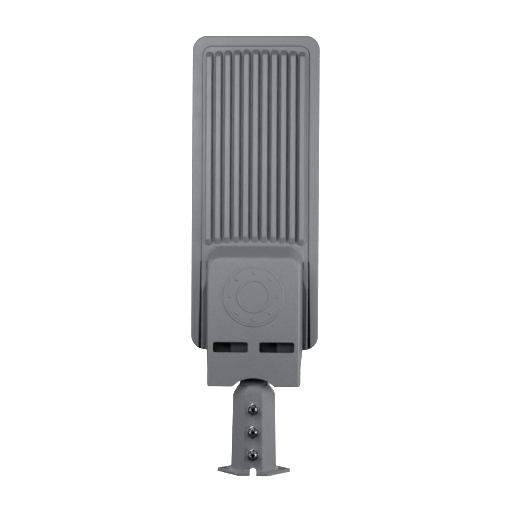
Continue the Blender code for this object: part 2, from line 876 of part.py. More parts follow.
def window_cutter(side):
    name = "left" if side < 0 else "right"
    near = side * WINDOW_INNER
    far = side * (WINDOW_INNER + WINDOW_WIDTH)
    low = RIM_LOW - 0.0002
    outline = rounded_rect(
        min(near, far), max(near, far), low, low + WINDOW_HEIGHT, WINDOW_CORNER, 3
    )
    return prism(f"window_cutter_{name}", "Y", outline, BOX_FRONT - 0.01, BOX_INSIDE + 0.002)


def window_shelf(side):
    """Step in the casting behind the right half of each window."""
    name = "left" if side < 0 else "right"
    start = WINDOW_INNER + WINDOW_WIDTH / 2
    low = -start if side < 0 else start
    high = -WINDOW_INNER + 0.002 if side < 0 else CAVITY_HALF + 0.001
    return block(
        f"window_shelf_{name}",
        (low, BOX_INSIDE + SHELF_SET, WINDOW_BACK_LOW),
        (high, WINDOW_BACK + 0.001, BULKHEAD_LOW + 0.001),
    )


def window_back():
    """Wall across the tail behind both windows, in front of the tongue's swing."""
    return block(
        "window_back",
        (-CAVITY_HALF - 0.001, WINDOW_BACK, WINDOW_BACK_LOW),
        (CAVITY_HALF + 0.001, WINDOW_BACK + WINDOW_BACK_THICK, BULKHEAD_LOW + 0.001),
    )


def emblem_blanks():
    """Plain round emblem: a low disc, a thin ring and a circle of pips."""
    centre = (0.0, RIM_LOW + DISC_HEIGHT)
    face = BOX_FRONT - DISC_RISE
    disc_profile = [
        (BOX_FRONT + 0.001, DISC_RADIUS),
        (face + 0.0003, DISC_RADIUS),
        (face, DISC_RADIUS - 0.0005),
    ]
    disc = turned("emblem_disc", "Y", disc_profile, centre, 40)
    ring = turned(
        "emblem_ring",
        "Y",
        [(face + 0.0005, RING_RADIUS), (face - 0.0005, RING_RADIUS - 0.0002)],
        centre,
        28,
    )
    hollow = rod(
        "emblem_ring_cutter", "Y", RING_RADIUS - RING_WIDTH, face - 0.01, face + 0.001, centre, 28
    )
    cut(ring, hollow)
    pips = bmesh.new()
    for i in range(PIP_COUNT):
        angle = 2 * math.pi * i / PIP_COUNT
        place = (
            centre[0] + PIP_CIRCLE * math.sin(angle),
            centre[1] + PIP_CIRCLE * math.cos(angle),
        )
        loft_into(
            pips,
            [
                along_y(circle(PIP_RADIUS, 8, place), face + 0.0005),
                along_y(circle(PIP_RADIUS * 0.55, 8, place), face - 0.0006),
            ],
        )
    return disc, ring, add_object("emblem_pips", pips, None)


def frame_screw_places():
    """The lens frame's screws: three on each long side and one at each end."""
    x = INNER_HALF - SEAT_WIDTH / 2
    low = LENS_LOW + 0.012
    high = LENS_HIGH - 0.020
    places = [(side * x, z) for side in (-1, 1) for z in (low, (low + high) / 2, high)]
    places.append((0.0, LENS_LOW + 0.0036))
    places.append((0.0, LENS_HIGH - 0.0036))
    return places


def cover_screw_places():
    x = INNER_HALF - 0.0067
    low = COVER_LOW + 0.0135
    high = DIVIDER_LOW - 0.0135
    return [(side * x, z) for side in (-1, 1) for z in (low, (low + high) / 2, high)]


def screw_holes(name, places, depth):
    mesh_data = bmesh.new()
    for place in places:
        outline = circle(SCREW_SHANK / 2 + RUN, TINY_ROUND, place)
        loft_into(
            mesh_data,
            [along_y(outline, SEAT - depth - 0.0005), along_y(outline, SEAT + 0.004)],
        )
    return add_object(name, mesh_data, None)


def make_housing(paint, parent):
    body = rim_blank()
    body.data.materials.append(paint)
    join(body, plateau_blank(), box_blank())
    for side in (-1, 1):
        cut(body, valley_cutter(side), slit_cutter(side))
    join(body, rib_blank())
    cut(body, *tray_cutters(), compartment_cutter(), *tail_cutters())
    for side in (-1, 1):
        inner = side * CHEEK_INNER
        outer = side * CHEEK_OUTER
        name = "left" if side < 0 else "right"
        cheek = prism(
            f"cheek_{name}", "X", cheek_outline(), min(inner, outer), max(inner, outer)
        )
        join(body, cheek)
    join(body, window_back(), window_shelf(-1), window_shelf(1))
    pivot_hole = rod(
        "cheek_hole_cutter",
        "X",
        PIVOT_BOLT / 2 + 0.0002,
        -CHEEK_OUTER - 0.002,
        CHEEK_OUTER + 0.002,
        (PIVOT_Y, PIVOT_Z),
    )
    cut(body, pivot_hole, arch_cutter(), window_cutter(-1), window_cutter(1))
    join(body, *emblem_blanks())
    cut(
        body,
        screw_holes("frame_screw_holes", frame_screw_places(), FRAME_SCREW_DEPTH),
        screw_holes("cover_screw_holes", cover_screw_places(), COVER_SCREW_DEPTH),
        rod(
            "lead_hole_cutter",
            "Z",
            LEAD_HOLE / 2,
            CAVITY_HIGH - 0.004,
            LENS_LOW + 0.02,
            (LEAD_X, LEAD_Y),
            10,
        ),
        rod(
            "gland_hole_cutter",
            "Z",
            GLAND_THREAD / 2 + RUN,
            BULKHEAD_LOW - 0.001,
            CAVITY_LOW + 0.001,
            GLAND_PLACE,
        ),
    )
    hold(body, parent)


# ---------------------------------------------------------------- tilt pivot hardware


def make_pivot(zinc, parent):
    centre = (PIVOT_Y, PIVOT_Z)
    shank = PIVOT_BOLT / 2
    ring_inner = shank + GAP

    def washer(name, low, thick, radius):
        made = rod(name, "X", radius, low, low + thick, centre, 20, zinc)
        cut(made, rod(f"{name}_bore", "X", ring_inner, low - 0.01, low + thick + 0.01, centre))
        hold(made, parent)

    right_face = CHEEK_OUTER + GAP
    left_face = -CHEEK_OUTER - GAP
    washer("pivot_washer_head", right_face, PIVOT_WASHER_THICK, PIVOT_WASHER)
    washer("pivot_washer_nut", left_face - PIVOT_WASHER_THICK, PIVOT_WASHER_THICK, PIVOT_WASHER)
    spring_high = left_face - PIVOT_WASHER_THICK - GAP
    spring_low = spring_high - PIVOT_SPRING_THICK
    washer("pivot_spring_washer", spring_low, PIVOT_SPRING_THICK, PIVOT_SPRING)
    nut_low = spring_low - GAP - PIVOT_NUT_THICK
    bore = PIVOT_BOLT + 2 * RUN
    nut = hex_nut("pivot_nut", "X", PIVOT_FLATS, PIVOT_NUT_THICK, bore, nut_low, centre, zinc)
    hold(nut, parent)
    head_low = right_face + PIVOT_WASHER_THICK + GAP
    head_high = head_low + PIVOT_HEAD_THICK
    head = loft(
        "pivot_bolt",
        [
            along_x(hexagon(PIVOT_FLATS, centre), head_low),
            along_x(hexagon(PIVOT_FLATS, centre), head_high - 0.001),
            along_x(hexagon(PIVOT_FLATS * 0.92, centre), head_high),
        ],
        zinc,
    )
    tip = nut_low - PIVOT_STAND_OUT
    shaft = turned(
        "pivot_shaft",
        "X",
        [(tip, shank - 0.001), (tip + 0.001, shank), (head_low + 0.001, shank)],
        centre,
        SMALL_ROUND,
    )
    join(head, shaft)
    hold(head, parent)


# ---------------------------------------------------------------- light side


def lens_places():
    """Columns and rows of lenses, as many rows as fit the frame's opening."""
    opening_low = LENS_LOW + FRAME_EDGE_Z + LENS_RADIUS
    opening_high = LENS_HIGH - FRAME_EDGE_Z - LENS_RADIUS
    rows = math.floor((opening_high - opening_low) / LENS_PITCH_Z) + 1
    middle = (opening_low + opening_high) / 2
    places = []
    for row in range(rows):
        z = middle + (row - (rows - 1) / 2) * LENS_PITCH_Z
        for column in range(LENS_COLUMNS):
            places.append(((column - (LENS_COLUMNS - 1) / 2) * LENS_PITCH_X, z))
    return places


def ring_piece(name, outer, inner, low, high, skin):
    made = prism(name, "Y", outer, low, high, skin)
    cut(made, prism(f"{name}_opening", "Y", inner, low - 0.005, high + 0.005))
    return made


def make_light(board_green, diode, clear, rubber, frame_paint, steel, parent):
    ease = GASKET_EASE
    board_half = POCKET_HALF - 0.004
    board_low = SEAT_LOW + GASKET_SEAT_WIDTH + BOARD_INSET
    board_high = SEAT_HIGH - GASKET_SEAT_WIDTH - 0.002
    board_back = PANEL_FLOOR + GAP
    board_front = board_back + BOARD_THICK
    board = prism(
        "led_board",
        "Y",
        rounded_rect(-board_half, board_half, board_low, board_high, 0.003, 2),
        board_back,
        board_front,
        board_green,
    )
    diodes = bmesh.new()
    for place in lens_places():
        outline = circle(LED_SIZE / math.sqrt(2), 4, place, 45.0)
        loft_into(
            diodes,
            [along_y(outline, board_front - 0.0004), along_y(outline, board_front + LED_RISE)],
        )
    join(board, add_object("led_packages", diodes, diode))
    plug_low = board_low + 0.0002
    join(
        board,
        block(
            "lead_plug",
            (LEAD_X - PLUG_WIDTH / 2, board_front - 0.0004, plug_low),
            (LEAD_X + PLUG_WIDTH / 2, board_front + 0.0022, plug_low + 0.006),
        ),
    )
    hold(board, parent)

    gasket = ring_piece(
        "lens_gasket",
        rounded_rect(-SEAT_HALF + ease, SEAT_HALF - ease, SEAT_LOW + ease, SEAT_HIGH - ease, 0.0055),
        rounded_rect(
            -POCKET_HALF - ease,
            POCKET_HALF + ease,
            SEAT_LOW + GASKET_SEAT_WIDTH - ease,
            SEAT_HIGH - GASKET_SEAT_WIDTH + ease,
            0.004,
        ),
        LENS_SEAT + GAP,
        LENS_SEAT + GAP + GASKET_THICK,
        rubber,
    )
    hold(gasket, parent)

    plate_back = LENS_SEAT + 2 * GAP + GASKET_THICK
    plate_front = plate_back + LENS_THICK
    play = 2 * GAP
    plate = prism(
        "lens_plate",
        "Y",
        rounded_rect(-SEAT_HALF + play, SEAT_HALF - play, SEAT_LOW + play, SEAT_HIGH - play, 0.005),
        plate_back,
        plate_front,
        clear,
    )
    field_front = plate_front + LENS_FIELD
    opening = frame_opening()
    inset = 0.0008
    field = prism(
        "lens_field",
        "Y",
        rounded_rect(
            opening[0] + inset, opening[1] - inset, opening[2] + inset, opening[3] - inset, 0.004
        ),
        plate_front - 0.0005,
        field_front,
    )
    domes = bmesh.new()
    levels = ((1.0, -0.0005), (0.8, LENS_RISE * 0.62), (0.4, LENS_RISE))
    for place in lens_places():
        loft_into(
            domes,
            [
                along_y(circle(LENS_RADIUS * share, TINY_ROUND, place), field_front + rise)
                for share, rise in levels
            ],
        )
    join(plate, field, add_object("lens_domes", domes, None))
    hold(plate, parent)

    corner = HEAD_CORNER - SKIRT_WALL
    frame_back = SEAT + GAP
    frame = ring_piece(
        "lens_frame",
        rounded_rect(
            -INNER_HALF + GAP, INNER_HALF - GAP, LENS_LOW + GAP, LENS_HIGH - GAP, corner, 5, 0.003
        ),
        rounded_rect(*opening, 0.005),
        frame_back,
        frame_back + FRAME_THICK,
        frame_paint,
    )
    holes = screw_holes("frame_clearance_holes", frame_screw_places(), 0.0)
    cut(frame, holes)
    hold(frame, parent)
    head_seat = frame_back + FRAME_THICK + GAP
    make_screws("frame_screw", frame_screw_places(), head_seat, FRAME_SCREW_DEPTH, steel, parent)


def frame_opening():
    """Low x, high x, low z and high z of the lens frame's opening."""
    half = SEAT_HALF - FRAME_LAP
    return -half, half, LENS_LOW + FRAME_EDGE_Z, LENS_HIGH - FRAME_EDGE_Z


def make_screws(name, places, seat, depth, skin, parent):
    """Pan-head screws with a cross recess, heads on the +Y side."""
    for i, place in enumerate(places):
        number = i + 1
        radius = SCREW_HEAD / 2
        shank = SCREW_SHANK / 2
        tip = SEAT - depth
        screw = turned(
            f"{name}_{number}",
            "Y",
            [
                (tip, shank - 0.0006),
                (tip + 0.0006, shank),
                (seat, shank),
                (seat + 0.00001, radius),
                (seat + SCREW_HEAD_RISE * 0.5, radius),
                (seat + SCREW_HEAD_RISE, radius * 0.6),
            ],
            place,
            TINY_ROUND,
            skin,
        )
        hold(screw, parent)


# ---------------------------------------------------------------- compartment


def make_cover(plastic, rubber, steel, parent):
    corner = HEAD_CORNER - SKIRT_WALL
    back = SEAT + GAP
    front = back + COVER_THICK
    outline = rounded_rect(
        -INNER_HALF + GAP, INNER_HALF - GAP, COVER_LOW + GAP, DIVIDER_LOW - GAP, 0.003, 5, corner
    )
    cover = prism("compartment_cover", "Y", outline, back, front, plastic)
    sections = []
    for spread, y in ((0.002, front - 0.0005), (0.0005, front + COVER_PANEL_RISE)):
        half = CAVITY_HALF + spread
        panel_outline = rounded_rect(-half, half, CAVITY_LOW - spread, CAVITY_HIGH + spread, 0.007)
        sections.append(along_y(panel_outline, y))
    panel = loft("cover_panel", sections)
    join(cover, panel)
    cut(cover, screw_holes("cover_clearance_holes", cover_screw_places(), 0.0))
    for name, radius, place in (
        ("button_hole_cutter", BUTTON_THREAD / 2, BUTTON_PLACE),
        ("indicator_hole_cutter", INDICATOR_RADIUS, INDICATOR_PLACE),
    ):
        cut(cover, rod(name, "Y", radius + RUN, back - 0.005, front + 0.01, place))
    hold(cover, parent)
    make_screws("cover_screw", cover_screw_places(), front + GAP, COVER_SCREW_DEPTH, steel, parent)

    ease = GASKET_EASE
    wide = COVER_SEAT_WIDTH - ease
    tall = wide - SEAT_RAISE
    half = CAVITY_HALF
    gasket = ring_piece(
        "cover_gasket",
        rounded_rect(-half - wide, half + wide, CAVITY_LOW - tall, CAVITY_HIGH + tall, 0.0036),
        rounded_rect(-half - ease, half + ease, CAVITY_LOW - ease, CAVITY_HIGH + ease, 0.002),
        COVER_SEAT + GAP,
        SEAT,
        rubber,
    )
    hold(gasket, parent)


def make_button(nylon, cap_skin, zinc, window_skin, head, parent):
    face = SEAT + GAP + COVER_THICK + COVER_PANEL_RISE
    x, z = BUTTON_PLACE
    inside = SEAT + GAP
    flange = face + GAP
    body = turned(
        "button_housing",
        "Y",
        [
            (inside - BUTTON_DEPTH, BUTTON_THREAD / 2 - 0.0004),
            (flange, BUTTON_THREAD / 2),
            (flange + 0.00001, BUTTON_BEZEL),
            (flange + BUTTON_BEZEL_RISE - 0.0006, BUTTON_BEZEL),
            (flange + BUTTON_BEZEL_RISE, BUTTON_BEZEL - 0.0006),
        ],
        BUTTON_PLACE,
        20,
        nylon,
    )
    floor = inside - 0.001
    well = rod("button_well_cutter", "Y", BUTTON_WELL, floor, face + 0.01, BUTTON_PLACE, 20)
    cut(body, well)
    hold(body, head)
    nut = hex_nut(
        "button_nut",
        "Y",
        BUTTON_NUT_FLATS,
        BUTTON_NUT_THICK,
        BUTTON_THREAD + 2 * RUN,
        inside - GAP - BUTTON_NUT_THICK,
        BUTTON_PLACE,
        zinc,
    )
    hold(nut, head)
    slide = empty("button_slide", (x, face, z), parent)
    cap = turned(
        "button_cap",
        "Y",
        [
            (inside + 0.0012, BUTTON_CAP),
            (flange + BUTTON_CAP_RISE - 0.0006, BUTTON_CAP),
            (flange + BUTTON_CAP_RISE, BUTTON_CAP - 0.0006),
        ],
        BUTTON_PLACE,
        20,
        cap_skin,
    )
    hold(cap, slide)
    window = turned(
        "indicator_window",
        "Y",
        [
            (inside - 0.001, INDICATOR_RADIUS),
            (face + INDICATOR_RISE / 2, INDICATOR_RADIUS),
            (face + INDICATOR_RISE, INDICATOR_RADIUS * 0.7),
        ],
        INDICATOR_PLACE,
        16,
        window_skin,
    )
    hold(window, head)


def cell_places():
    count = math.floor((2 * CAVITY_HALF - 0.001) / CELL_SPACING)
    return [(i - (count - 1) / 2) * CELL_SPACING for i in range(count)]


def make_battery(wrap, nylon, nickel, parent):
    centre_y = BOX_INSIDE + 0.0012 + CELL_DIAMETER / 2
    holder_low = CAVITY_LOW + 0.006
    places = cell_places()
    inner = HOLDER_THICK - HOLDER_RECESS
    cell_low = holder_low + inner + 2 * GAP + STRIP_THICK
    cell_high = cell_low + CELL_LENGTH
    holder_high = cell_high + 2 * GAP + STRIP_THICK + inner
    half_depth = CELL_DIAMETER / 2 - 0.0006
    span = CELL_SPACING * len(places) / 2
    for i, x in enumerate(places):
        radius = CELL_DIAMETER / 2
        cell = turned(
            f"battery_cell_{i + 1}",
            "Z",
            [
                (cell_low, radius - 0.001),
                (cell_low + 0.001, radius),
                (cell_high - 0.003, radius),
                (cell_high - 0.0025, radius - 0.0015),
                (cell_high - 0.001, radius - 0.0015),
                (cell_high - 0.001 + 0.00001, TERMINAL_RADIUS),
                (cell_high, TERMINAL_RADIUS),
            ],
            (x, centre_y),
            ROUND,
            wrap,
        )
        hold(cell, parent)
    for end in ("lower", "upper"):
        flip = 1 if end == "lower" else -1
        outer_face = holder_low if end == "lower" else holder_high
        inner_face = outer_face + flip * HOLDER_THICK
        outline = [
            (-span, centre_y - half_depth),
            (span, centre_y - half_depth),
            (span, centre_y + half_depth),
            (-span, centre_y + half_depth),
        ]
        ends = sorted((outer_face, inner_face))
        holder = prism(f"cell_holder_{end}", "Z", outline, ends[0], ends[1], nylon)
        recess_face = inner_face - flip * HOLDER_RECESS
        recess = sorted((recess_face, inner_face + flip * 0.002))
        for i, x in enumerate(places):
            cut(
                holder,
                rod(
                    f"cell_recess_{end}_{i + 1}",
                    "Z",
                    CELL_DIAMETER / 2 + GAP,
                    recess[0],
                    recess[1],
                    (x, centre_y),
                    ROUND,
                ),
            )
        groove = block(
            f"strip_groove_{end}",
            (places[0] - 0.008, centre_y - 0.0045, recess[0]),
            (places[-1] + 0.008, centre_y + 0.0045, recess[1]),
        )
        cut(holder, groove)
        hold(holder, parent)
        strip_near = recess_face + flip * GAP
        strip_far = strip_near + flip * STRIP_THICK
        strip = block(
            f"cell_strip_{end}",
            (places[0] - 0.007, centre_y - 0.004, min(strip_near, strip_far)),
            (places[-1] + 0.007, centre_y + 0.004, max(strip_near, strip_far)),
            nickel,
        )
        hold(strip, parent)
    return holder_high


def make_controller(board_green, above, wire, parent):
    """Charge controller and LED driver on one board, standing over the cells."""
    half = CAVITY_HALF - 0.006
    front = BOX_INSIDE + 0.001
    back = front + CONTROLLER_DEPTH
    low = above + 0.0015
    top = low + BOARD_THICK
    sunk = top - 0.0004
    board = block("controller_board", (-half, front, low), (half, back, top), board_green)
    parts = (
        ("inductor", (-0.036, 0.010), 0.0055, 0.0045),
        ("capacitor", (-0.018, 0.006), 0.0035, 0.0052),
        ("capacitor_2", (0.036, 0.010), 0.0035, 0.0050),
    )
    for name, (x, y), radius, tall in parts:
        join(board, rod(name, "Z", radius, sunk, top + tall, (x, front + y), TINY_ROUND))
    plug_high = top + 0.004
    join(
        board,
        block("chip", (-0.008, front + 0.006, sunk), (0.004, front + 0.015, top + 0.0016)),
        block(
            "plug",
            (LEAD_X - PLUG_WIDTH / 2, back - 0.007, sunk),
            (LEAD_X + PLUG_WIDTH / 2, back - 0.001, plug_high),
        ),
    )
    hold(board, parent)

    lead_high = SEAT_LOW + GASKET_SEAT_WIDTH + BOARD_INSET - GAP
    route = (
        (LEAD_X, back - 0.004, plug_high + GAP),
        (LEAD_X, back - 0.004, plug_high + 0.0015),
        (LEAD_X, back - 0.004, plug_high + 0.003),
        (LEAD_X, LEAD_Y - 0.002, CAVITY_HIGH - 0.006),
        (LEAD_X, LEAD_Y, CAVITY_HIGH),
        (LEAD_X, LEAD_Y, (CAVITY_HIGH + lead_high) / 2),
        (LEAD_X, LEAD_Y, lead_high),
    )
    hold(bent_tube("led_lead", route, LEAD_DIAMETER, wire), parent)


def make_gland(nylon, rubber, parent):
    """Cable gland for the solar panel's lead, in the bulkhead over the tail."""
    place = GLAND_PLACE
    clamp = GLAND_THREAD / 2 - 0.001
    flange_high = BULKHEAD_LOW - GAP
    flange_low = flange_high - GLAND_FLANGE
    clamp_low = flange_low - GLAND_CLAMP
    thread_high = CAVITY_LOW + GAP + GLAND_FLANGE + 0.001
    body = prism("gland_body", "Z", hexagon(GLAND_FLATS, place), flange_low, flange_high, nylon)
    join(
        body,
        rod("gland_thread", "Z", GLAND_THREAD / 2, flange_high - 0.001, thread_high, place),
        rod("gland_clamp", "Z", clamp, clamp_low, flange_low + 0.001, place),
    )
    cut(body, rod("gland_bore", "Z", GLAND_BORE / 2, clamp_low - 0.01, thread_high + 0.01, place))
    hold(body, parent)
    nut_high = flange_low - GAP
    nut_low = nut_high - GLAND_NUT_LENGTH
    nut_floor = nut_low + GLAND_NUT_FLOOR
    nut_profile = [
        (nut_low, GLAND_NUT_RADIUS - 0.0018),
        (nut_low + 0.0025, GLAND_NUT_RADIUS - 0.0002),
        (nut_high, GLAND_NUT_RADIUS),
    ]
    nut = turned("gland_nut", "Z", nut_profile, place, 12, nylon)
    cut(
        nut,
        rod("gland_nut_bore", "Z", clamp + RUN, nut_floor, nut_high + 0.01, place),
        rod("gland_nut_mouth", "Z", GLAND_MOUTH / 2, nut_low - 0.01, nut_high, place),
    )
    hold(nut, parent)
    seal_low = nut_floor + GAP
    seal_high = clamp_low - GAP
    seal = rod("gland_seal", "Z", clamp - GAP, seal_low, seal_high, place, skin=rubber)
    cut(seal, rod("gland_seal_bore", "Z", GLAND_LEAD / 2, nut_low - 0.01, seal_high + 0.01, place))
    hold(seal, parent)
    bore = GLAND_THREAD + 2 * RUN
    locknut_low = CAVITY_LOW + GAP
    locknut = hex_nut(
        "gland_locknut", "Z", GLAND_FLATS, GLAND_FLANGE, bore, locknut_low, place, nylon
    )
    hold(locknut, parent)


# ---------------------------------------------------------------- assembly


def main():
    clear_scene()
    paint = material("grey_paint", (0.235, 0.24, 0.255), 0.48)
    zinc = material("zinc_steel", (0.72, 0.73, 0.76), 0.24, 1.0)
    steel = material("stainless", (0.62, 0.62, 0.62), 0.3, 1.0)
    clear = material("clear_polycarbonate", (0.9, 0.92, 0.93), 0.06, 0.0, 0.35)
    rubber = material("black_silicone", (0.02, 0.02, 0.02), 0.7)
    nylon = material("black_nylon", (0.03, 0.03, 0.032), 0.5)
    board_white = material("board_mask", (0.8, 0.8, 0.78), 0.4)
    board_green = material("board_green", (0.03, 0.16, 0.06), 0.4)
    diode = material("led_phosphor", (0.85, 0.7, 0.15), 0.35)
    wrap = material("cell_wrap", (0.06, 0.2, 0.45), 0.35)
    nickel = material("nickel_strip", (0.66, 0.64, 0.6), 0.3, 1.0)
    cap_skin = material("button_rubber", (0.35, 0.03, 0.025), 0.45)
    window_skin = material("smoked_window", (0.05, 0.01, 0.015), 0.08)
    cover_skin = material("cover_paint", (0.235, 0.24, 0.255), 0.5)

    adaptor = empty("adaptor_frame", (0.0, 0.0, 0.0))
    head = empty("tilt_pivot", (0.0, PIVOT_Y, PIVOT_Z))

    make_adaptor(paint, adaptor)
    make_lock_screws(zinc, adaptor)
    make_housing(paint, head)
    make_pivot(zinc, head)
    make_light(board_white, diode, clear, rubber, cover_skin, steel, head)
    make_cover(cover_skin, rubber, steel, head)
    make_button(nylon, cap_skin, zinc, window_skin, head, head)
    above = make_battery(wrap, nylon, nickel, head)
    make_controller(board_green, above, rubber, head)
    make_gland(nylon, rubber, head)


main()
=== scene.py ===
# Looks for the solar street lamp head on its pole adaptor. Metres, +Z up, ribs towards -Y.
import json
import math

import bmesh
import bpy
from mathutils import Matrix, Vector

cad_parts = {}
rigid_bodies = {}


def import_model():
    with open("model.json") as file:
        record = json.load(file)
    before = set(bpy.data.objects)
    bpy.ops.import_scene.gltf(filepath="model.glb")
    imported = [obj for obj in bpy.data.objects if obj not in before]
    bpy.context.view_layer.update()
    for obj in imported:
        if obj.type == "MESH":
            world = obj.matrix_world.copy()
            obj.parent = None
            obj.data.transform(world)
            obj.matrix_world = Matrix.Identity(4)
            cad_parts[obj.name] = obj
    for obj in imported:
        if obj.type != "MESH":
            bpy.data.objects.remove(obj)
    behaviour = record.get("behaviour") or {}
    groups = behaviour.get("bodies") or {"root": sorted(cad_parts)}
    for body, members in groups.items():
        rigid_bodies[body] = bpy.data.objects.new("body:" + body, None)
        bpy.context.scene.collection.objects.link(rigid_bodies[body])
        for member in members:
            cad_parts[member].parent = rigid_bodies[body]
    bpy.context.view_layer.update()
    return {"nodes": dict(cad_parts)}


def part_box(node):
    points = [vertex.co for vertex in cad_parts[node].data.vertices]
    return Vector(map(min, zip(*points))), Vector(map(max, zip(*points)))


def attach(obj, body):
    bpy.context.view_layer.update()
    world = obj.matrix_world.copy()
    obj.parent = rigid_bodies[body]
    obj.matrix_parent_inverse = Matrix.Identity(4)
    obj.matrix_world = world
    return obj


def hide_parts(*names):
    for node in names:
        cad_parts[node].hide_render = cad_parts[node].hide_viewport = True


for old in list(bpy.data.objects):
    bpy.data.objects.remove(old, do_unlink=True)

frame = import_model()
nodes = frame["nodes"]
print("frame loaded:", len(nodes), "nodes")


# outlines are lists of 2D points, anticlockwise

def arc(x, z, radius, start, end, steps):
    found = []
    for i in range(steps + 1):
        lean = math.radians(start + (end - start) * i / steps)
        found.append(Vector((x + radius * math.cos(lean), z + radius * math.sin(lean))))
    return found


def circle(radius, sides, centre=(0.0, 0.0), turn=0.0):
    return arc(centre[0], centre[1], radius, turn, turn + 360 * (sides - 1) / sides, sides - 1)


def hexagon(flats, centre=(0.0, 0.0), turn=0.0):
    return circle(flats / math.sqrt(3), 6, centre, turn)


def rect(lowX, highX, lowZ, highZ):
    return [(highX, lowZ), (highX, highZ), (lowX, highZ), (lowX, lowZ)]


def frontOf(low, high):  # a box's outline, seen along Y
    return rect(low.x, high.x, low.z, high.z)


def mirrored(quarter):  # a quarter outline in the first quadrant, from the X side up, made whole
    top = quarter + [(-x, z) for x, z in quarter[::-1]]
    return top + [(x, -z) for x, z in top[::-1]]


def grown(points, distance):  # every edge moves outwards
    made = []
    for i, point in enumerate(points):
        here = Vector(point)
        into = (here - Vector(points[i - 1])).normalized()
        out = (Vector(points[(i + 1) % len(points)]) - here).normalized()
        normal = Vector((into.y, -into.x))
        middle = (normal + Vector((out.y, -out.x))).normalized()
        made.append(here + middle * distance / middle.dot(normal))
    return made


def filleted(points, radius, steps=6):  # one radius, or one for each corner
    made = []
    for i, point in enumerate(points):
        here = Vector(point)
        before = Vector(points[i - 1]) - here
        after = Vector(points[(i + 1) % len(points)]) - here
        wanted = radius[i] if isinstance(radius, (list, tuple)) else radius
        half = before.angle(after) / 2
        reach = min(max(wanted, 0.00003) / math.tan(half), before.length * 0.49, after.length * 0.49)
        bow = reach * math.tan(half)
        centre = here + (before.normalized() + after.normalized()).normalized() * bow / math.sin(half)
        first = here + before.normalized() * reach - centre
        last = here + after.normalized() * reach - centre
        swing = math.atan2(first.cross(last), first.dot(last))
        for k in range(steps + 1):
            made.append(centre + Matrix.Rotation(swing * k / steps, 2) @ first)
    return made


# solids

def place(axis, point, at):
    if axis == "X":
        return (at, point[0], point[1])
    if axis == "Y":
        return (point[0], at, point[1])
    return (point[0], point[1], at)


def addObject(name, mesh):
    made = bpy.data.objects.new(name, mesh)
    bpy.context.scene.collection.objects.link(made)
    return made


def skin(name, rings):  # closed skin through rings; a ring of one point is a pole
    shell = bmesh.new()
    rows = [[shell.verts.new(point) for point in ring] for ring in rings]
    for lower, upper in zip(rows, rows[1:]):
        count = max(len(lower), len(upper))
        for i in range(count):
            j = (i + 1) % count
            if len(lower) == 1:
                shell.faces.new((lower[0], upper[j], upper[i]))
            elif len(upper) == 1:
                shell.faces.new((lower[i], lower[j], upper[0]))
            else:
                shell.faces.new((lower[i], lower[j], upper[j], upper[i]))
    for ends in (rows[0][::-1], rows[-1]):
        if len(ends) > 2:
            shell.faces.new(ends)
    bmesh.ops.recalc_face_normals(shell, faces=shell.faces)
    mesh = bpy.data.meshes.new(name)
    shell.to_mesh(mesh)
    shell.free()
    return addObject(name, mesh)


def layered(name, axis, layers):  # layers are (place along the axis, outline)
    return skin(name, [[place(axis, point, at) for point in outline] for at, outline in layers])


def rounding(at, inward, ease, steps=4):  # (place, inset) pairs from an end face inwards
    if ease == 0:
        return [(at, 0.0)]
    found = []
    for i in range(steps + 1):
        lean = math.radians(90 * i / steps)
        found.append((at + inward * ease * (1 - math.cos(lean)), ease * (1 - math.sin(lean))))
    return found


def swell(at, rise, inner, wide, degrees):  # (place, radius) pairs along part of an ellipse
    leans = [math.radians(a) for a in degrees]
    return [(at + rise * math.sin(lean), inner + wide * math.cos(lean)) for lean in leans]


def levelled(name, axis, points, radius, levels, steps=6):  # levels are (place, inset)
    layers = []
    for at, inset in levels:
        corners = radius if isinstance(radius, list) else [radius] * len(points)
        radii = [max(corner - inset, 0.0) for corner in corners]
        layers.append((at, filleted(grown(points, -inset), radii, steps)))
    return layered(name, axis, layers)


def bar(name, axis, points, radius, low, high, easeLow=0.0, easeHigh=0.0, steps=6, rounds=4):
    levels = rounding(low, 1, easeLow, rounds) + rounding(high, -1, easeHigh, rounds)[::-1]
    return levelled(name, axis, points, radius, levels, steps)


def lipCutter(name, axis, points, radius, surface, inward, depth, lip, steps=6):
    # a cutter whose mouth flares, so that the edge it leaves is rounded
    levels = [(surface - inward * 0.01, -lip)]
    levels += [(at, -inset) for at, inset in rounding(surface, inward, lip, 4)]
    levels.append((surface + inward * depth, 0.0))
    return levelled(name, axis, points, radius, levels, steps)


def turned(name, axis, profile, centre, sides=48):  # profile is (place along the axis, radius)
    layers = [(at, circle(radius, sides, centre) if radius else [centre]) for at, radius in profile]
    return layered(name, axis, layers)


def drill(name, axis, low, high, radius, centre, sides=40):
    return turned(name, axis, [(low, radius), (high, radius)], centre, sides)


def threaded(name, axis, centre, low, high, radius, pitch, sides=30):  # rod with a rolled thread
    depth = pitch * 0.5
    rows = int((high - low) / pitch * 7)
    layers = []
    for i in range(rows + 1):
        at = low + (high - low) * i / rows
        bevel = min(at - low, high - at)
        outline = []
        for k in range(sides):
            phase = ((at - low) / pitch - k / sides) % 1.0
            tooth = min(1.0, 1.35 * (1 - abs(2 * phase - 1)))
            reach = min(radius - depth * (1 - tooth), radius - depth + bevel)
            lean = 2 * math.pi * k / sides
            outline.append((centre[0] + reach * math.cos(lean), centre[1] + reach * math.sin(lean)))
        layers.append((at, outline))
    return layered(name, axis, layers)


def bake(piece):  # applies the modifiers
    graph = bpy.context.evaluated_depsgraph_get()
    graph.update()
    mesh = bpy.data.meshes.new_from_object(piece.evaluated_get(graph))
    piece.modifiers.clear()
    piece.data = mesh
    return piece


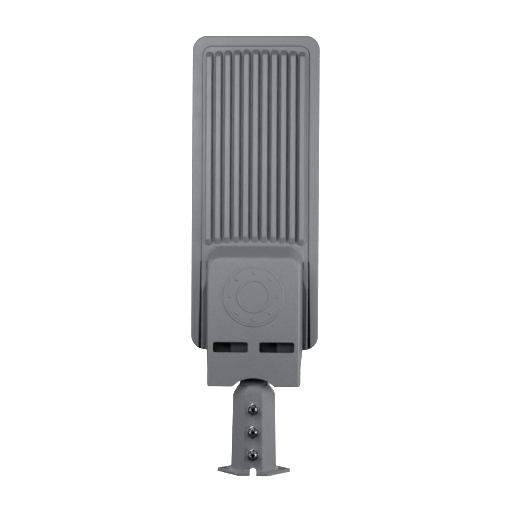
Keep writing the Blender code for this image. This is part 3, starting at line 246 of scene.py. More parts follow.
def combine(target, tools, operation):
    for tool in tools:
        step = target.modifiers.new(operation.lower(), "BOOLEAN")
        step.operation = operation
        step.solver = "EXACT"
        step.object = tool
    bake(target)
    for tool in tools:
        bpy.data.objects.remove(tool, do_unlink=True)
    return target


def carve(target, *tools):
    return combine(target, tools, "DIFFERENCE")


def weld(target, *tools):
    return combine(target, tools, "UNION")


def smoothed(piece, sharp=32):
    piece.data.shade_smooth()
    piece.data.set_sharp_from_angle(angle=math.radians(sharp))
    weighted = piece.modifiers.new("weighted", "WEIGHTED_NORMAL")
    weighted.keep_sharp = True
    return bake(piece)


def finish(piece, skinMaterial, body, slot, *replaced, sharp=32):
    smoothed(piece, sharp)
    if skinMaterial is not None:
        piece.data.materials.clear()
        piece.data.materials.append(skinMaterial)
    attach(piece, body)
    if replaced:
        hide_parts(*replaced)


def middleOf(node):
    low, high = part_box(node)
    return (low + high) / 2


# finishes

def plug(node, sockets):  # an output is linked to its socket, and a plain value is set on it
    for key, value in sockets.items():
        if isinstance(value, bpy.types.NodeSocket):
            node.id_data.links.new(value, node.inputs[key])
        else:
            node.inputs[key].default_value = value


def addNode(tree, kind, sockets=(), **settings):
    node = tree.nodes.new(kind)
    for key, value in settings.items():
        setattr(node, key, value)
    plug(node, dict(sockets))
    return node


def newMaterial(name):
    made = bpy.data.materials.new(name)
    made.use_nodes = True
    tree = made.node_tree
    return made, tree, tree.nodes["Principled BSDF"]


def noise(tree, scale, detail=3.0, rough=0.55, stretch=(1, 1, 1)):
    coords = addNode(tree, "ShaderNodeTexCoord").outputs["Object"]
    mapping = addNode(tree, "ShaderNodeMapping", {"Vector": coords, "Scale": stretch})
    sockets = {"Vector": mapping.outputs["Vector"], "Scale": scale, "Detail": detail, "Roughness": rough}
    return addNode(tree, "ShaderNodeTexNoise", sockets).outputs["Fac"]


def spread(tree, value, low, high, fromLow=0.3, fromHigh=0.7):
    sockets = {"Value": value, "From Min": fromLow, "From Max": fromHigh, "To Min": low, "To Max": high}
    return addNode(tree, "ShaderNodeMapRange", sockets).outputs["Result"]


def maths(tree, operation, *values):
    return addNode(tree, "ShaderNodeMath", dict(enumerate(values)), operation=operation).outputs["Value"]


def shaded(tree, colour, factor):  # the colour times a factor that varies over the surface
    grey = addNode(tree, "ShaderNodeCombineColor", {"Red": factor, "Green": factor, "Blue": factor})
    sockets = {"Factor": 1.0, "A": (*colour, 1), "B": grey.outputs["Color"]}
    return addNode(tree, "ShaderNodeMix", sockets, data_type="RGBA", blend_type="MULTIPLY").outputs["Result"]


def bumped(tree, shader, *heights):  # heights are (pattern, strength, distance)
    last = {}
    for pattern, strength, distance in heights:
        sockets = {"Height": pattern, "Strength": strength, "Distance": distance, **last}
        last = {"Normal": addNode(tree, "ShaderNodeBump", sockets).outputs["Normal"]}
    plug(shader, last)


paint = {
    "colour": (0.229, 0.236, 0.254),
    "edgeWearAndHighlightColour": (0.40, 0.405, 0.42),
    "grainScale": 950.0,
    "fleckScale": 2300.0,
    "mottleScale": 620.0,
    "roughness": (0.42, 0.56),
}


def castPaint(name, level=1.0):  # powder coat over cast aluminium: fine orange peel, flecks, and convex edges lightened partly as rubbed wear and partly as a painted highlight
    made, tree, shader = newMaterial(name)
    colour = [channel * level for channel in paint["colour"]]
    cloud = spread(tree, noise(tree, 9.0, 4.0), 0.94, 1.05)
    fleck = spread(tree, noise(tree, paint["fleckScale"], 2.0, 0.7), 0.84, 1.17)
    mottle = spread(tree, noise(tree, paint["mottleScale"], 3.0, 0.6), 0.90, 1.10)
    tone = maths(tree, "MULTIPLY", maths(tree, "MULTIPLY", cloud, fleck), mottle)
    # painted highlight: convex edges found by pointiness are lightened towards the paler colour, partly as
    # rubbed wear and partly as the highlight that edges catch
    edge = addNode(tree, "ShaderNodeNewGeometry").outputs["Pointiness"]
    wearAndHighlightEdges = spread(tree, edge, 0.0, 0.55, 0.56, 0.68)
    patchyWearAndHighlight = maths(tree, "MULTIPLY", wearAndHighlightEdges, spread(tree, noise(tree, 160.0), 0.15, 1.0, 0.35, 0.65))
    edgeWearAndHighlight = [channel * level for channel in paint["edgeWearAndHighlightColour"]]
    sockets = {"Factor": patchyWearAndHighlight, "A": shaded(tree, colour, tone), "B": (*edgeWearAndHighlight, 1)}
    skinColour = addNode(tree, "ShaderNodeMix", sockets, data_type="RGBA").outputs["Result"]
    sheen = spread(tree, noise(tree, 60.0), *paint["roughness"])
    plug(shader, {"Base Color": skinColour, "Roughness": sheen})
    peel = noise(tree, paint["grainScale"], 2.0)
    fine = noise(tree, paint["fleckScale"], 2.0)
    bumped(tree, shader, (peel, 0.55, 0.00025), (fine, 0.35, 0.0001))
    return made


def metal(name, colour, roughness, grain, stretch=(1, 1, 1)):
    made, tree, shader = newMaterial(name)
    tint = spread(tree, noise(tree, 90.0), 0.86, 1.06)
    streaks = noise(tree, grain, 3.0, 0.6, stretch)
    sheen = spread(tree, streaks, roughness - 0.08, roughness + 0.12)
    plug(shader, {"Metallic": 1.0, "Base Color": shaded(tree, colour, tint), "Roughness": sheen})
    bumped(tree, shader, (streaks, 0.25, 0.00004))
    return made


def moulded(name, colour, roughness, grain=1400.0, depth=0.00008):
    made, tree, shader = newMaterial(name)
    tint = spread(tree, noise(tree, 40.0), 0.88, 1.12)
    sheen = spread(tree, noise(tree, 120.0), roughness - 0.06, roughness + 0.08)
    plug(shader, {"Base Color": shaded(tree, colour, tint), "Roughness": sheen})
    bumped(tree, shader, (noise(tree, grain, 2.0), 0.3, depth))
    return made


def clearPlastic(name, colour, roughness):
    made, tree, shader = newMaterial(name)
    sheen = spread(tree, noise(tree, 25.0), roughness, roughness + 0.05)
    plug(shader, {"Base Color": (*colour, 1), "Transmission Weight": 1.0, "IOR": 1.58, "Roughness": sheen})
    bumped(tree, shader, (noise(tree, 220.0), 0.05, 0.00002))
    return made


def boardMask(name, colour, trace, gap):  # solder mask with copper tracks showing through
    made, tree, shader = newMaterial(name)
    coords = addNode(tree, "ShaderNodeTexCoord").outputs["Object"]
    turn = addNode(tree, "ShaderNodeMapping", {"Vector": coords, "Rotation": (math.radians(-90), 0, 0)})
    tracks = addNode(tree, "ShaderNodeTexBrick", {
        "Vector": turn.outputs["Vector"],
        "Scale": 1.0,
        "Color1": (*colour, 1),
        "Color2": (*[channel * 0.94 for channel in colour], 1),
        "Mortar": (*trace, 1),
        "Brick Width": gap[0],
        "Row Height": gap[1],
        "Mortar Size": 0.0006,
    })
    sheen = spread(tree, noise(tree, 200.0), 0.28, 0.42)
    plug(shader, {"Base Color": tracks.outputs["Color"], "Roughness": sheen})
    bumped(tree, shader, (tracks.outputs["Fac"], 0.2, 0.00005))
    return made


headPaint = castPaint("powder_coat_grey")
coverPaint = castPaint("powder_coat_cover", 0.96)
# painted shade: two near-black colours stand in for the shade inside the tail, the bore, the slits and the
# hex sockets; they are not the casting's own colour
paintedShadeDark = moulded("painted_shade_dark", (0.035, 0.036, 0.039), 0.7, 700.0, 0.0002)
paintedShadowBlack = moulded("painted_shadow_black", (0.008, 0.008, 0.009), 0.8, 700.0, 0.0002)
zinc = metal("zinc_plate", (0.78, 0.79, 0.82), 0.26, 800.0)
stainless = metal("stainless_steel", (0.66, 0.65, 0.64), 0.3, 500.0, (1, 6, 1))
lensClear = clearPlastic("clear_polycarbonate", (0.97, 0.985, 1.0), 0.02)
smoked = clearPlastic("smoked_acrylic", (0.10, 0.015, 0.02), 0.03)
silicone = moulded("black_silicone", (0.018, 0.018, 0.019), 0.62)
nylon = moulded("black_nylon", (0.028, 0.028, 0.031), 0.45, 900.0)
redRubber = moulded("red_silicone", (0.36, 0.025, 0.022), 0.42)
wrap = moulded("cell_sleeve", (0.03, 0.13, 0.36), 0.3, 300.0, 0.00005)
nickel = metal("nickel_strip", (0.70, 0.67, 0.62), 0.3, 400.0, (8, 1, 1))
whiteMask = boardMask("white_solder_mask", (0.80, 0.81, 0.79), (0.70, 0.71, 0.69), (0.027, 0.0265))
greenMask = boardMask("green_solder_mask", (0.02, 0.13, 0.05), (0.05, 0.24, 0.09), (0.009, 0.004))
ceramic = moulded("led_ceramic", (0.83, 0.82, 0.78), 0.35)
phosphor = moulded("led_phosphor", (0.86, 0.62, 0.08), 0.28, 2500.0, 0.00003)
print("finishes made:", len(bpy.data.materials))


# Geometry Nodes for what repeats

def newTree(name, inputs):
    tree = bpy.data.node_groups.new(name, "GeometryNodeTree")
    tree.interface.new_socket("Geometry", in_out="INPUT", socket_type="NodeSocketGeometry")
    names = {}
    for label, kind in {"Piece": "Object", **inputs, "Material": "Material"}.items():
        socket = tree.interface.new_socket(label, in_out="INPUT", socket_type="NodeSocket" + kind)
        names[label] = socket.identifier
    tree.interface.new_socket("Geometry", in_out="OUTPUT", socket_type="NodeSocketGeometry")
    return tree, tree.nodes.new("NodeGroupInput").outputs, names


def closeTree(tree, ins, points, **settings):  # the piece on every point, realized and dressed
    piece = addNode(tree, "GeometryNodeObjectInfo", {"Object": ins["Piece"]}).outputs["Geometry"]
    sockets = {"Points": points, "Instance": piece, **settings}
    copies = addNode(tree, "GeometryNodeInstanceOnPoints", sockets).outputs["Instances"]
    real = addNode(tree, "GeometryNodeRealizeInstances", {"Geometry": copies}).outputs["Geometry"]
    dressed = addNode(tree, "GeometryNodeSetMaterial", {"Geometry": real, "Material": ins["Material"]})
    addNode(tree, "NodeGroupOutput", {"Geometry": dressed.outputs["Geometry"]})


def upright(tree, points, centre):  # points in the XY plane are stood up in the XZ plane
    sockets = {"Geometry": points, "Translation": centre, "Rotation": (math.radians(90), 0, 0)}
    return addNode(tree, "GeometryNodeTransform", sockets).outputs["Geometry"]


def vector(tree, **parts):
    return addNode(tree, "ShaderNodeCombineXYZ", parts).outputs["Vector"]


def gridTree():  # rows and columns of one piece, standing in the XZ plane
    inputs = {"Columns": "Int", "Rows": "Int", "Pitch X": "Float", "Pitch Z": "Float", "Centre": "Vector"}
    tree, ins, names = newTree("rows_and_columns", inputs)
    sizes = []
    for count, pitch in (("Columns", "Pitch X"), ("Rows", "Pitch Z")):
        sizes.append(maths(tree, "MULTIPLY", maths(tree, "SUBTRACT", ins[count], 1.0), ins[pitch]))
    grid = addNode(tree, "GeometryNodeMeshGrid", {
        "Vertices X": ins["Columns"],
        "Vertices Y": ins["Rows"],
        "Size X": sizes[0],
        "Size Y": sizes[1],
    })
    closeTree(tree, ins, upright(tree, grid.outputs["Mesh"], ins["Centre"]))
    return tree, names


def lineTree():  # a single file of one piece
    tree, ins, names = newTree("single_file", {"Count": "Int", "Start": "Vector", "Step": "Vector"})
    sockets = {"Count": ins["Count"], "Start Location": ins["Start"], "Offset": ins["Step"]}
    closeTree(tree, ins, addNode(tree, "GeometryNodeMeshLine", sockets).outputs["Mesh"])
    return tree, names


def ringTree():  # one piece repeated on a circle in the XZ plane
    tree, ins, names = newTree("round_the_emblem", {"Count": "Int", "Radius": "Float", "Centre": "Vector"})
    ring = addNode(tree, "GeometryNodeMeshCircle", {"Vertices": ins["Count"], "Radius": ins["Radius"]})
    closeTree(tree, ins, upright(tree, ring.outputs["Mesh"], ins["Centre"]))
    return tree, names


def pointTree():  # one piece on each point of the host, each turned by chance about Y
    tree, ins, names = newTree("screws_in_place", {"Seed": "Int"})
    sockets = {"Min": (0, 0, 0), "Max": (0, math.tau, 0), "Seed": ins["Seed"]}
    chance = addNode(tree, "FunctionNodeRandomValue", sockets, data_type="FLOAT_VECTOR")
    closeTree(tree, ins, ins["Geometry"], Rotation=chance.outputs["Value"])
    return tree, names


def ribTree():  # cooling ribs: the outer ones start a little lower, along a shallow curve
    sizes = ("Pitch", "Top Z", "Low Z", "Top Sag", "Low Sag", "Half Room", "Base Y")
    tree, ins, names = newTree("cooling_ribs", {"Count": "Int", **{size: "Float" for size in sizes}})
    gaps = maths(tree, "SUBTRACT", ins["Count"], 1.0)
    start = maths(tree, "MULTIPLY", maths(tree, "MULTIPLY", gaps, ins["Pitch"]), -0.5)
    line = addNode(tree, "GeometryNodeMeshLine", {
        "Count": ins["Count"],
        "Offset": vector(tree, X=ins["Pitch"]),
        "Start Location": vector(tree, X=start),
    })
    spot = addNode(tree, "GeometryNodeInputPosition").outputs["Position"]
    across = addNode(tree, "ShaderNodeSeparateXYZ", {"Vector": spot}).outputs["X"]
    out = maths(tree, "ABSOLUTE", maths(tree, "DIVIDE", across, ins["Half Room"]))
    share = maths(tree, "POWER", out, 2.0)
    top = maths(tree, "SUBTRACT", ins["Top Z"], maths(tree, "MULTIPLY", share, ins["Top Sag"]))
    low = maths(tree, "SUBTRACT", ins["Low Z"], maths(tree, "MULTIPLY", share, ins["Low Sag"]))
    sockets = {"Geometry": line.outputs["Mesh"], "Offset": vector(tree, Y=ins["Base Y"], Z=low)}
    moved = addNode(tree, "GeometryNodeSetPosition", sockets).outputs["Geometry"]
    sockets = {"Geometry": moved, "Name": "length", "Value": maths(tree, "SUBTRACT", top, low)}
    kept = addNode(tree, "GeometryNodeStoreNamedAttribute", sockets).outputs["Geometry"]
    length = addNode(tree, "GeometryNodeInputNamedAttribute", {"Name": "length"}).outputs["Attribute"]
    closeTree(tree, ins, kept, Scale=vector(tree, X=1.0, Y=1.0, Z=length))
    return tree, names


trees = {"grid": gridTree(), "line": lineTree(), "ring": ringTree(), "points": pointTree(), "ribs": ribTree()}


def repeated(name, kind, piece, points=(), **values):
    # runs a tree on a host and leaves one plain mesh
    tree, names = trees[kind]
    mesh = bpy.data.meshes.new(name)
    mesh.from_pydata([tuple(point) for point in points], [], [])
    host = addObject(name, mesh)
    run = host.modifiers.new("nodes", "NODES")
    run.node_group = tree
    run[names["Piece"]] = piece
    for key, value in values.items():
        run[names[key.replace("_", " ")]] = value
    bake(host)
    bpy.data.objects.remove(piece, do_unlink=True)
    return host


# head casting

headLow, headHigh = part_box("housing")
casting = {
    "corner": 0.0185,
    "rimDepth": 0.016,          # from the skirt's edge to the rim's face
    "rimEase": 0.0022,
    "border": 0.014,
    "plateauRise": 0.003,
    "plateauCorner": 0.0108,
    "plateauEase": 0.0009,
    "moatWidth": 0.0010,
    "moatDepth": 0.0016,
    "boxRise": 0.028,
    "boxSideDraft": 0.0035,
    "boxEndRun": 0.0147,
    "boxCorner": 0.018,
    "boxEase": 0.0026,
    "boxLength": 0.1728,
    "foot": 0.0024,             # fillet where the box meets the plateau
    "valleyWidth": 0.0065,
    "valleyLength": 0.111,
    "valleyDepth": 0.008,
    "slitWidth": 0.0042,
    "slitDepth": 0.0045,
    "tailLength": 0.0424,
    "wall": 0.0032,
    "bulkheadRise": 0.0157,     # wall between the tail and the compartment
    "bulkhead": 0.004,
    "cavityEnd": 0.0057,        # from the compartment's top to the box's
    "cavitySlope": 0.885,       # its end leans a little less than the box's
    "partCorner": 0.003,        # corners where the cover and the lens frame meet
}
fit = 0.0003                    # clearance round a piece in its recess
half = headHigh.x
rimTop = headHigh.z
tailLow = headLow.z
rimLow = tailLow + casting["tailLength"]
skirtEdge = headHigh.y
rimFace = skirtEdge - casting["rimDepth"]
plateauFace = rimFace - casting["plateauRise"]
plateauHalf = half - casting["border"]
plateauTop = rimTop - casting["border"] - 0.0005
boxFace = plateauFace - casting["boxRise"]
boxHalf = plateauHalf - casting["valleyWidth"]
boxTop = tailLow + casting["boxLength"]
boxInside = boxFace + casting["wall"]
cavityHalf = boxHalf - casting["boxSideDraft"] - casting["wall"] - 0.0013
coverLow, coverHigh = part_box("compartment_cover")
frameLow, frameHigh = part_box("lens_frame")
pivotY, pivotZ = middleOf("pivot_washer_head").yz
tongueHalf = 0.017
tongueRadius = 0.014
cheekIn = tongueHalf + 0.0006
cheekOut = cheekIn + 0.005
bulkheadLow = rimLow + casting["bulkheadRise"]
bulkheadHigh = bulkheadLow + casting["bulkhead"]
cavityTop = boxTop - casting["cavityEnd"]
windowWall = pivotY - tongueRadius - 0.0033
windowWallLow = rimLow - 0.007
trayCorner = casting["corner"] - 0.0043
lensCorners = [casting["partCorner"], trayCorner, trayCorner, casting["partCorner"]]
coverCorners = [trayCorner, casting["partCorner"], casting["partCorner"], trayCorner]


def boxOutline(y, inset, lowInset):
    share = (plateauFace - y) / casting["boxRise"]
    wide = boxHalf - casting["boxSideDraft"] * share - inset
    top = boxTop - casting["boxEndRun"] * share - inset
    corner = casting["boxCorner"] - 0.002 * share - inset
    foot = 0.0012 - min(lowInset, 0.0008)
    return filleted(rect(-wide, wide, tailLow + lowInset, top), [foot, corner, corner, foot], 10)


def deepBox():
    levels = [(rimFace + 0.007, 0.0)] + rounding(boxFace, 1, casting["boxEase"], 8)[::-1]
    return layered("deep_box", "Y", [(y, boxOutline(y, inset, min(inset, 0.0012))) for y, inset in levels])


def boxFoot():  # the fillet round the box's upper end, which dies out where the valleys start
    low = rimLow + casting["valleyLength"] - 0.010
    layers = []
    levels = [(plateauFace + 0.0006, casting["foot"])] + rounding(plateauFace, -1, casting["foot"], 6)
    for y, outset in levels:
        share = (plateauFace - y) / casting["boxRise"]
        wide = boxHalf - casting["boxSideDraft"] * share + outset - 0.00005
        top = boxTop - casting["boxEndRun"] * share + outset - 0.00005
        corner = casting["boxCorner"] + outset
        layers.append((y, filleted(rect(-wide, wide, low, top), [0.0002, corner, corner, 0.0002], 10)))
    return layered("box_foot", "Y", layers)


def rimSlab():
    levels = rounding(rimFace, 1, casting["rimEase"], 7) + rounding(skirtEdge, -1, 0.0008, 3)[::-1]
    return levelled("housing", "Y", rect(-half, half, rimLow, rimTop), casting["corner"], levels, 14)


def plateau():
    points = rect(-plateauHalf, plateauHalf, rimLow + 0.0008, plateauTop)
    corner = casting["plateauCorner"]
    levels = [(rimFace + casting["moatDepth"] + 0.0006, 0.0)]
    levels += rounding(plateauFace, 1, casting["plateauEase"], 5)[::-1]
    return levelled("plateau", "Y", points, [0.0012, corner, corner, 0.0012], levels, 10)


def moat():  # thin shadow line round the plateau
    wide = casting["moatWidth"]
    corner = casting["plateauCorner"] + wide
    points = rect(-plateauHalf - wide, plateauHalf + wide, rimLow - 0.002, plateauTop + wide)
    corners = [0.001, corner, corner, 0.001]
    return bar("moat", "Y", points, corners, rimFace - 0.001, rimFace + casting["moatDepth"])


def wedge(name, side, tip, foot):  # tip and foot are four (x, y) corners at the two ends of a valley or slit
    low = rimLow - 0.004
    high = rimLow + casting["valleyLength"]
    rings = [[(side * x, y, z) for x, y in corners] for corners, z in ((foot, low), (tip, high))]
    return skin(name, rings)


def valley(side):
    near = boxHalf + 0.0001
    far = plateauHalf - 0.0012
    over = plateauFace - 0.004
    low = plateauFace + casting["valleyDepth"]
    tip = [(near - 0.0003, over), (far, over), (far, plateauFace - 0.0002), (near, plateauFace - 0.0001)]
    foot = [(near - 0.0006, over), (far, over), (far, plateauFace + 0.0004), (near + 0.0009, low)]
    return wedge("valley", side, tip, foot)


def slit(side):
    near = plateauHalf
    far = near + casting["slitWidth"]
    thin = near + casting["slitWidth"] * 0.5
    over = plateauFace - 0.002
    tip = [(near, over), (thin, over), (thin, rimFace + 0.0004), (near, rimFace + 0.0004)]
    low = rimFace + casting["slitDepth"]
    foot = [(near, over), (far, over), (far, low), (near, low)]
    return wedge("slit", side, tip, foot)


def trays():  # half width, low and high edge, corners, depth from and to
    wide = frameHigh.x + fit
    seat = frameLow.y - fit
    past = skirtEdge + 0.01
    deep = seat + 0.002
    loose = 2 * fit
    plateLow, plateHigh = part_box("lens_plate")
    boardLow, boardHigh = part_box("led_board")
    sealLow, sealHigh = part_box("cover_gasket")
    recesses = [
        (wide, frameLow.z - fit, frameHigh.z + fit, lensCorners, seat, past),
        (wide, coverLow.z - fit, coverHigh.z + fit, coverCorners, seat, past),
        (plateHigh.x + loose, plateLow.z - loose, plateHigh.z + loose, 0.006, plateLow.y - 0.0021, deep),
        (boardHigh.x + 0.004, boardLow.z - 0.003, boardHigh.z + 0.002, 0.004, boardLow.y - fit, plateLow.y),
        (sealHigh.x + 0.0004, sealLow.z - 0.0004, sealHigh.z + 0.0004, 0.004, sealLow.y - fit, deep),
    ]
    made = []
    for x, low, high, radius, near, far in recesses:
        made.append(bar("recess", "Y", rect(-x, x, low, high), radius, near, far))
    return made


def hollows():
    behind = skirtEdge + 0.01
    below = tailLow - 0.01
    skirt = plateauFace + 0.005
    bay = boxFace + 0.018
    room = [(boxInside, below), (behind, below), (behind, rimLow + fit), (skirt, rimLow + fit),
            (skirt, bulkheadLow), (boxInside, bulkheadLow)]
    slope = [(bay, below), (behind, below), (behind, rimLow - 0.0004), (rimFace + 0.006, rimLow - 0.0004),
             (bay, tailLow + 0.021)]
    mouth = 0.004
    cavity = [(boxInside, bulkheadHigh), (mouth, bulkheadHigh), (mouth, cavityTop), (plateauFace, cavityTop),
              (boxInside, cavityTop - casting["boxEndRun"] * casting["cavitySlope"])]
    return [
        bar("tail_room", "X", room, [0, 0, 0, 0, 0.0015, 0.002], -cavityHalf, cavityHalf),
        bar("tail_slope", "X", slope, [0, 0, 0, 0, 0.006], -0.1, 0.1),
        bar("cell_room", "X", cavity, 0.0008, -cavityHalf, cavityHalf),
    ]


def cheek(side):
    points = [(boxInside - 0.001, tailLow + 0.004), (pivotY, pivotZ - tongueRadius)]
    points += arc(pivotY, pivotZ, tongueRadius, -70, 0, 12)
    points += [
        (pivotY + tongueRadius, rimLow + 0.001),
        (plateauFace + 0.006, rimLow + 0.001),
        (plateauFace + 0.006, bulkheadLow + 0.001),
        (windowWall + 0.001, bulkheadLow + 0.001),
        (windowWall + 0.001, windowWallLow + 0.001),
        (boxInside - 0.001, windowWallLow - 0.002),
    ]
    near, far = sorted((side * cheekIn, side * cheekOut))
    return bar("cheek", "X", points, 0.0002, near, far, 0.0006, 0.0006, 2, 3)


window = {"width": 0.043, "height": 0.0127, "inner": 0.0068, "corner": 0.0026, "lip": 0.0007, "step": 0.005,
          "back": 0.0025}


def windowCutter(side):
    near, far = sorted((side * window["inner"], side * (window["inner"] + window["width"])))
    low = rimLow - 0.0002
    points = rect(near, far, low, low + window["height"])
    depth = casting["wall"] + 0.002
    return lipCutter("window", "Y", points, window["corner"], boxFace, 1, depth, window["lip"])


def windowShelf(side):  # the casting steps forward behind the right half of each window
    start = window["inner"] + window["width"] / 2
    low = -start if side < 0 else start
    high = 0.002 - window["inner"] if side < 0 else cavityHalf + 0.001
    points = rect(low, high, windowWallLow, bulkheadLow + 0.001)
    return bar("shelf", "Y", points, 0.0006, boxInside + window["step"], windowWall + 0.001, 0.0008)


def windowBack():
    wide = cavityHalf + 0.001
    points = rect(-wide, wide, windowWallLow, bulkheadLow + 0.001)
    return bar("window_back", "Y", points, 0.0002, windowWall, windowWall + window["back"])


arch = {"foot": 0.0517, "width": 0.0354, "shoulder": 0.0066, "height": 0.0109, "lip": 0.0010}


def archCutter():  # clears the adaptor's nose as the head tilts
    foot = arch["foot"] / 2
    wide = arch["width"] / 2
    shoulder = tailLow + arch["shoulder"]
    rise = arch["height"] - arch["shoulder"]
    radius = (wide**2 + rise**2) / (2 * rise)
    lean = math.degrees(math.asin(wide / radius))
    below = tailLow - 0.004
    points = [(-foot - 0.0036, below), (foot + 0.0036, below), (foot, tailLow)]
    points += arc(0.0, shoulder + rise - radius, radius, 90 - lean, 90 + lean, 18)
    points.append((-foot, tailLow))
    return lipCutter("arch", "Y", points, 0.0012, boxFace, 1, casting["wall"] + 0.004, arch["lip"], 2)


def inCompartment(point):
    share = min(max((plateauFace - point.y) / (plateauFace - boxInside), 0.0), 1.0)
    top = cavityTop - casting["boxEndRun"] * casting["cavitySlope"] * share
    return abs(point.x) < cavityHalf and bulkheadHigh < point.z < top and boxInside < point.y < 0.0035


def inTail(point):
    return abs(point.x) < cavityHalf and tailLow < point.z < bulkheadLow and boxInside < point.y < rimFace


def inSlit(point):
    across = plateauHalf < abs(point.x) < plateauHalf + casting["slitWidth"]
    return across and rimFace < point.y < rimFace + casting["slitDepth"]


def paintShadeInside(piece):  # painted shade: the inside of the tail, the compartment and the slits is coloured dark to stand in for the shade there
    piece.data.materials.clear()
    for skinMaterial in (headPaint, paintedShadeDark, paintedShadowBlack):
        piece.data.materials.append(skinMaterial)
    shelfFace = boxInside + window["step"]
    for face in piece.data.polygons:
        probe = face.center + face.normal * 0.0004
        low = rimLow < face.center.z < rimLow + casting["valleyLength"]
        # painted shade: the window shelf and the tail below the windows get the dark shade colour; the deep
        # back of the tail and the slits get the near-black painted shadow
        if inTail(probe):
            shelf = face.normal.y < -0.5 and abs(face.center.y - shelfFace) < 0.002
            face.material_index = 1 if shelf or probe.z < windowWallLow else 2
        elif inCompartment(probe):
            face.material_index = 1
        elif low and inSlit(probe):
            face.material_index = 2


def makeHousing():
    body = carve(rimSlab(), moat())
    weld(body, plateau(), deepBox(), boxFoot())
    carve(body, valley(-1), valley(1), slit(-1), slit(1))
    carve(body, *trays(), *hollows())
    weld(body, cheek(-1), cheek(1), windowBack(), windowShelf(-1), windowShelf(1))
    pivotHole = drill("pivot_hole", "X", -cheekOut - 0.002, cheekOut + 0.002, 0.0052, (pivotY, pivotZ), 32)
    glandSpot = middleOf("gland_locknut").xy
    glandHole = drill("gland_hole", "Z", bulkheadLow - 0.001, bulkheadHigh + 0.001, 0.0062, glandSpot, 32)
    lead = (middleOf("led_lead").x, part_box("led_lead")[1].y - 0.0016)
    leadHole = drill("lead_hole", "Z", cavityTop - 0.004, frameLow.z + 0.02, 0.002, lead, 24)
    carve(body, windowCutter(-1), windowCutter(1), archCutter(), pivotHole, glandHole, leadHole)
    paintShadeInside(body)
    finish(body, None, "head", "grey_paint", "housing")


makeHousing()
print("housing made")

rib = {
    "count": 11,
    "pitch": 0.0116,
    "base": 0.0088,
    "top": 0.0061,
    "height": 0.008,
    "endRun": 0.008,
    "edge": 0.0009,
    "foot": 0.0009,
    "topSag": 0.003,
    "lowSag": 0.004,
    "margin": 0.0037,
    "toBox": 0.004,
    "room": 0.0583,
}


def ribUnit(length):  # a rib one unit long in Z: half-round ends that slope up to the flat top
    halfBase, halfTop, height = rib["base"] / 2, rib["top"] / 2, rib["height"]
    ease, foot, run = rib["edge"], rib["foot"], rib["endRun"]
    stations = [at for at, _ in rounding(0.0, 1, halfBase, 7)]
    stations += [run - 0.0020, run - 0.0009, run, run + 0.0012]
    sections = []
    for z in stations:
        plan = math.sqrt(max(0.0, 1 - (1 - min(z / halfBase, 1.0)) ** 2))
        rise = min(1.0, z / run)
        if rise > 0.8:
            rise = 1 - max(0.0, run + 0.0012 - z) ** 2 * 19000
        sections.append((z, max(plan, 0.08), max(rise, 0.02)))
    side = [(0.0004, halfBase + foot), (0.0, halfBase + foot)]
    side += swell(-foot, foot, halfBase + foot, -foot, (60, 30, 5))
    side += swell(ease - height, -ease, halfTop - ease, ease, (0, 22, 45, 67, 90))
    whole = side + [(y, -x) for y, x in side[::-1]]
    rings = []
    for z, plan, rise in sections + [(length - z, plan, rise) for z, plan, rise in sections[::-1]]:
        rings.append([(x * plan, y * rise if y < 0 else y, z / length) for y, x in whole])
    return skin("rib_unit", rings)


def makeRibs():
    topZ = plateauTop - rib["margin"]
    lowZ = boxTop + rib["toBox"]
    made = repeated(
        "cooling_ribs", "ribs", ribUnit(topZ - lowZ), Count=rib["count"], Pitch=rib["pitch"], Top_Z=topZ,
        Low_Z=lowZ, Top_Sag=rib["topSag"], Low_Sag=rib["lowSag"], Half_Room=rib["room"], Base_Y=plateauFace,
        Material=headPaint,
    )
    finish(made, None, "head", "grey_paint", sharp=50)


makeRibs()

emblem = {
    "radius": 0.037,
    "rise": 0.001,
    "height": 0.1108,
    "ring": 0.0192,
    "ringWidth": 0.0021,
    "ringRise": 0.0009,
    "pips": 8,
    "pipCircle": 0.029,
    "pip": 0.0021,
    "pipRise": 0.0010,
    "groove": 0.00045,
}


def makeEmblem():  # a plain round medallion: disc, thin ring and a circle of pips
    centre = (0.0, tailLow + emblem["height"])
    face = boxFace - emblem["rise"]
    sunk = face + emblem["groove"]
    edge, ring, wide = emblem["radius"], emblem["ring"], emblem["ringWidth"] / 2
    profile = [(boxFace + 0.001, edge + 0.0004), (boxFace, edge + 0.0004)]
    profile += [(at, edge - inset) for at, inset in rounding(face, 1, 0.0007)[::-1]]
    profile += [(face, edge - 0.0016), (sunk, edge - 0.0022), (sunk, edge - 0.0028), (face, edge - 0.0034)]
    profile.append((face, ring + wide * 1.6))
    profile += swell(face, -emblem["ringRise"], ring, wide, range(0, 181, 45))
    profile += [(face, ring - wide * 1.6), (face, 0.004), (face, 0.0)]
    finish(turned("emblem_disc", "Y", profile, centre, 96), headPaint, "head", "grey_paint")
    profile = [(0.0005, emblem["pip"])] + swell(0.0, -emblem["pipRise"], 0.0, emblem["pip"], range(0, 90, 18))
    pip = turned("pip", "Y", profile + [(-emblem["pipRise"], 0.0)], (0.0, 0.0), 16)
    pips = repeated(
        "emblem_pips", "ring", pip, Count=emblem["pips"], Radius=emblem["pipCircle"],
        Centre=(centre[0], face, centre[1]), Material=headPaint,
    )
    finish(pips, None, "head", "grey_paint", sharp=50)


makeEmblem()
print("ribs and emblem made")


# pole adaptor

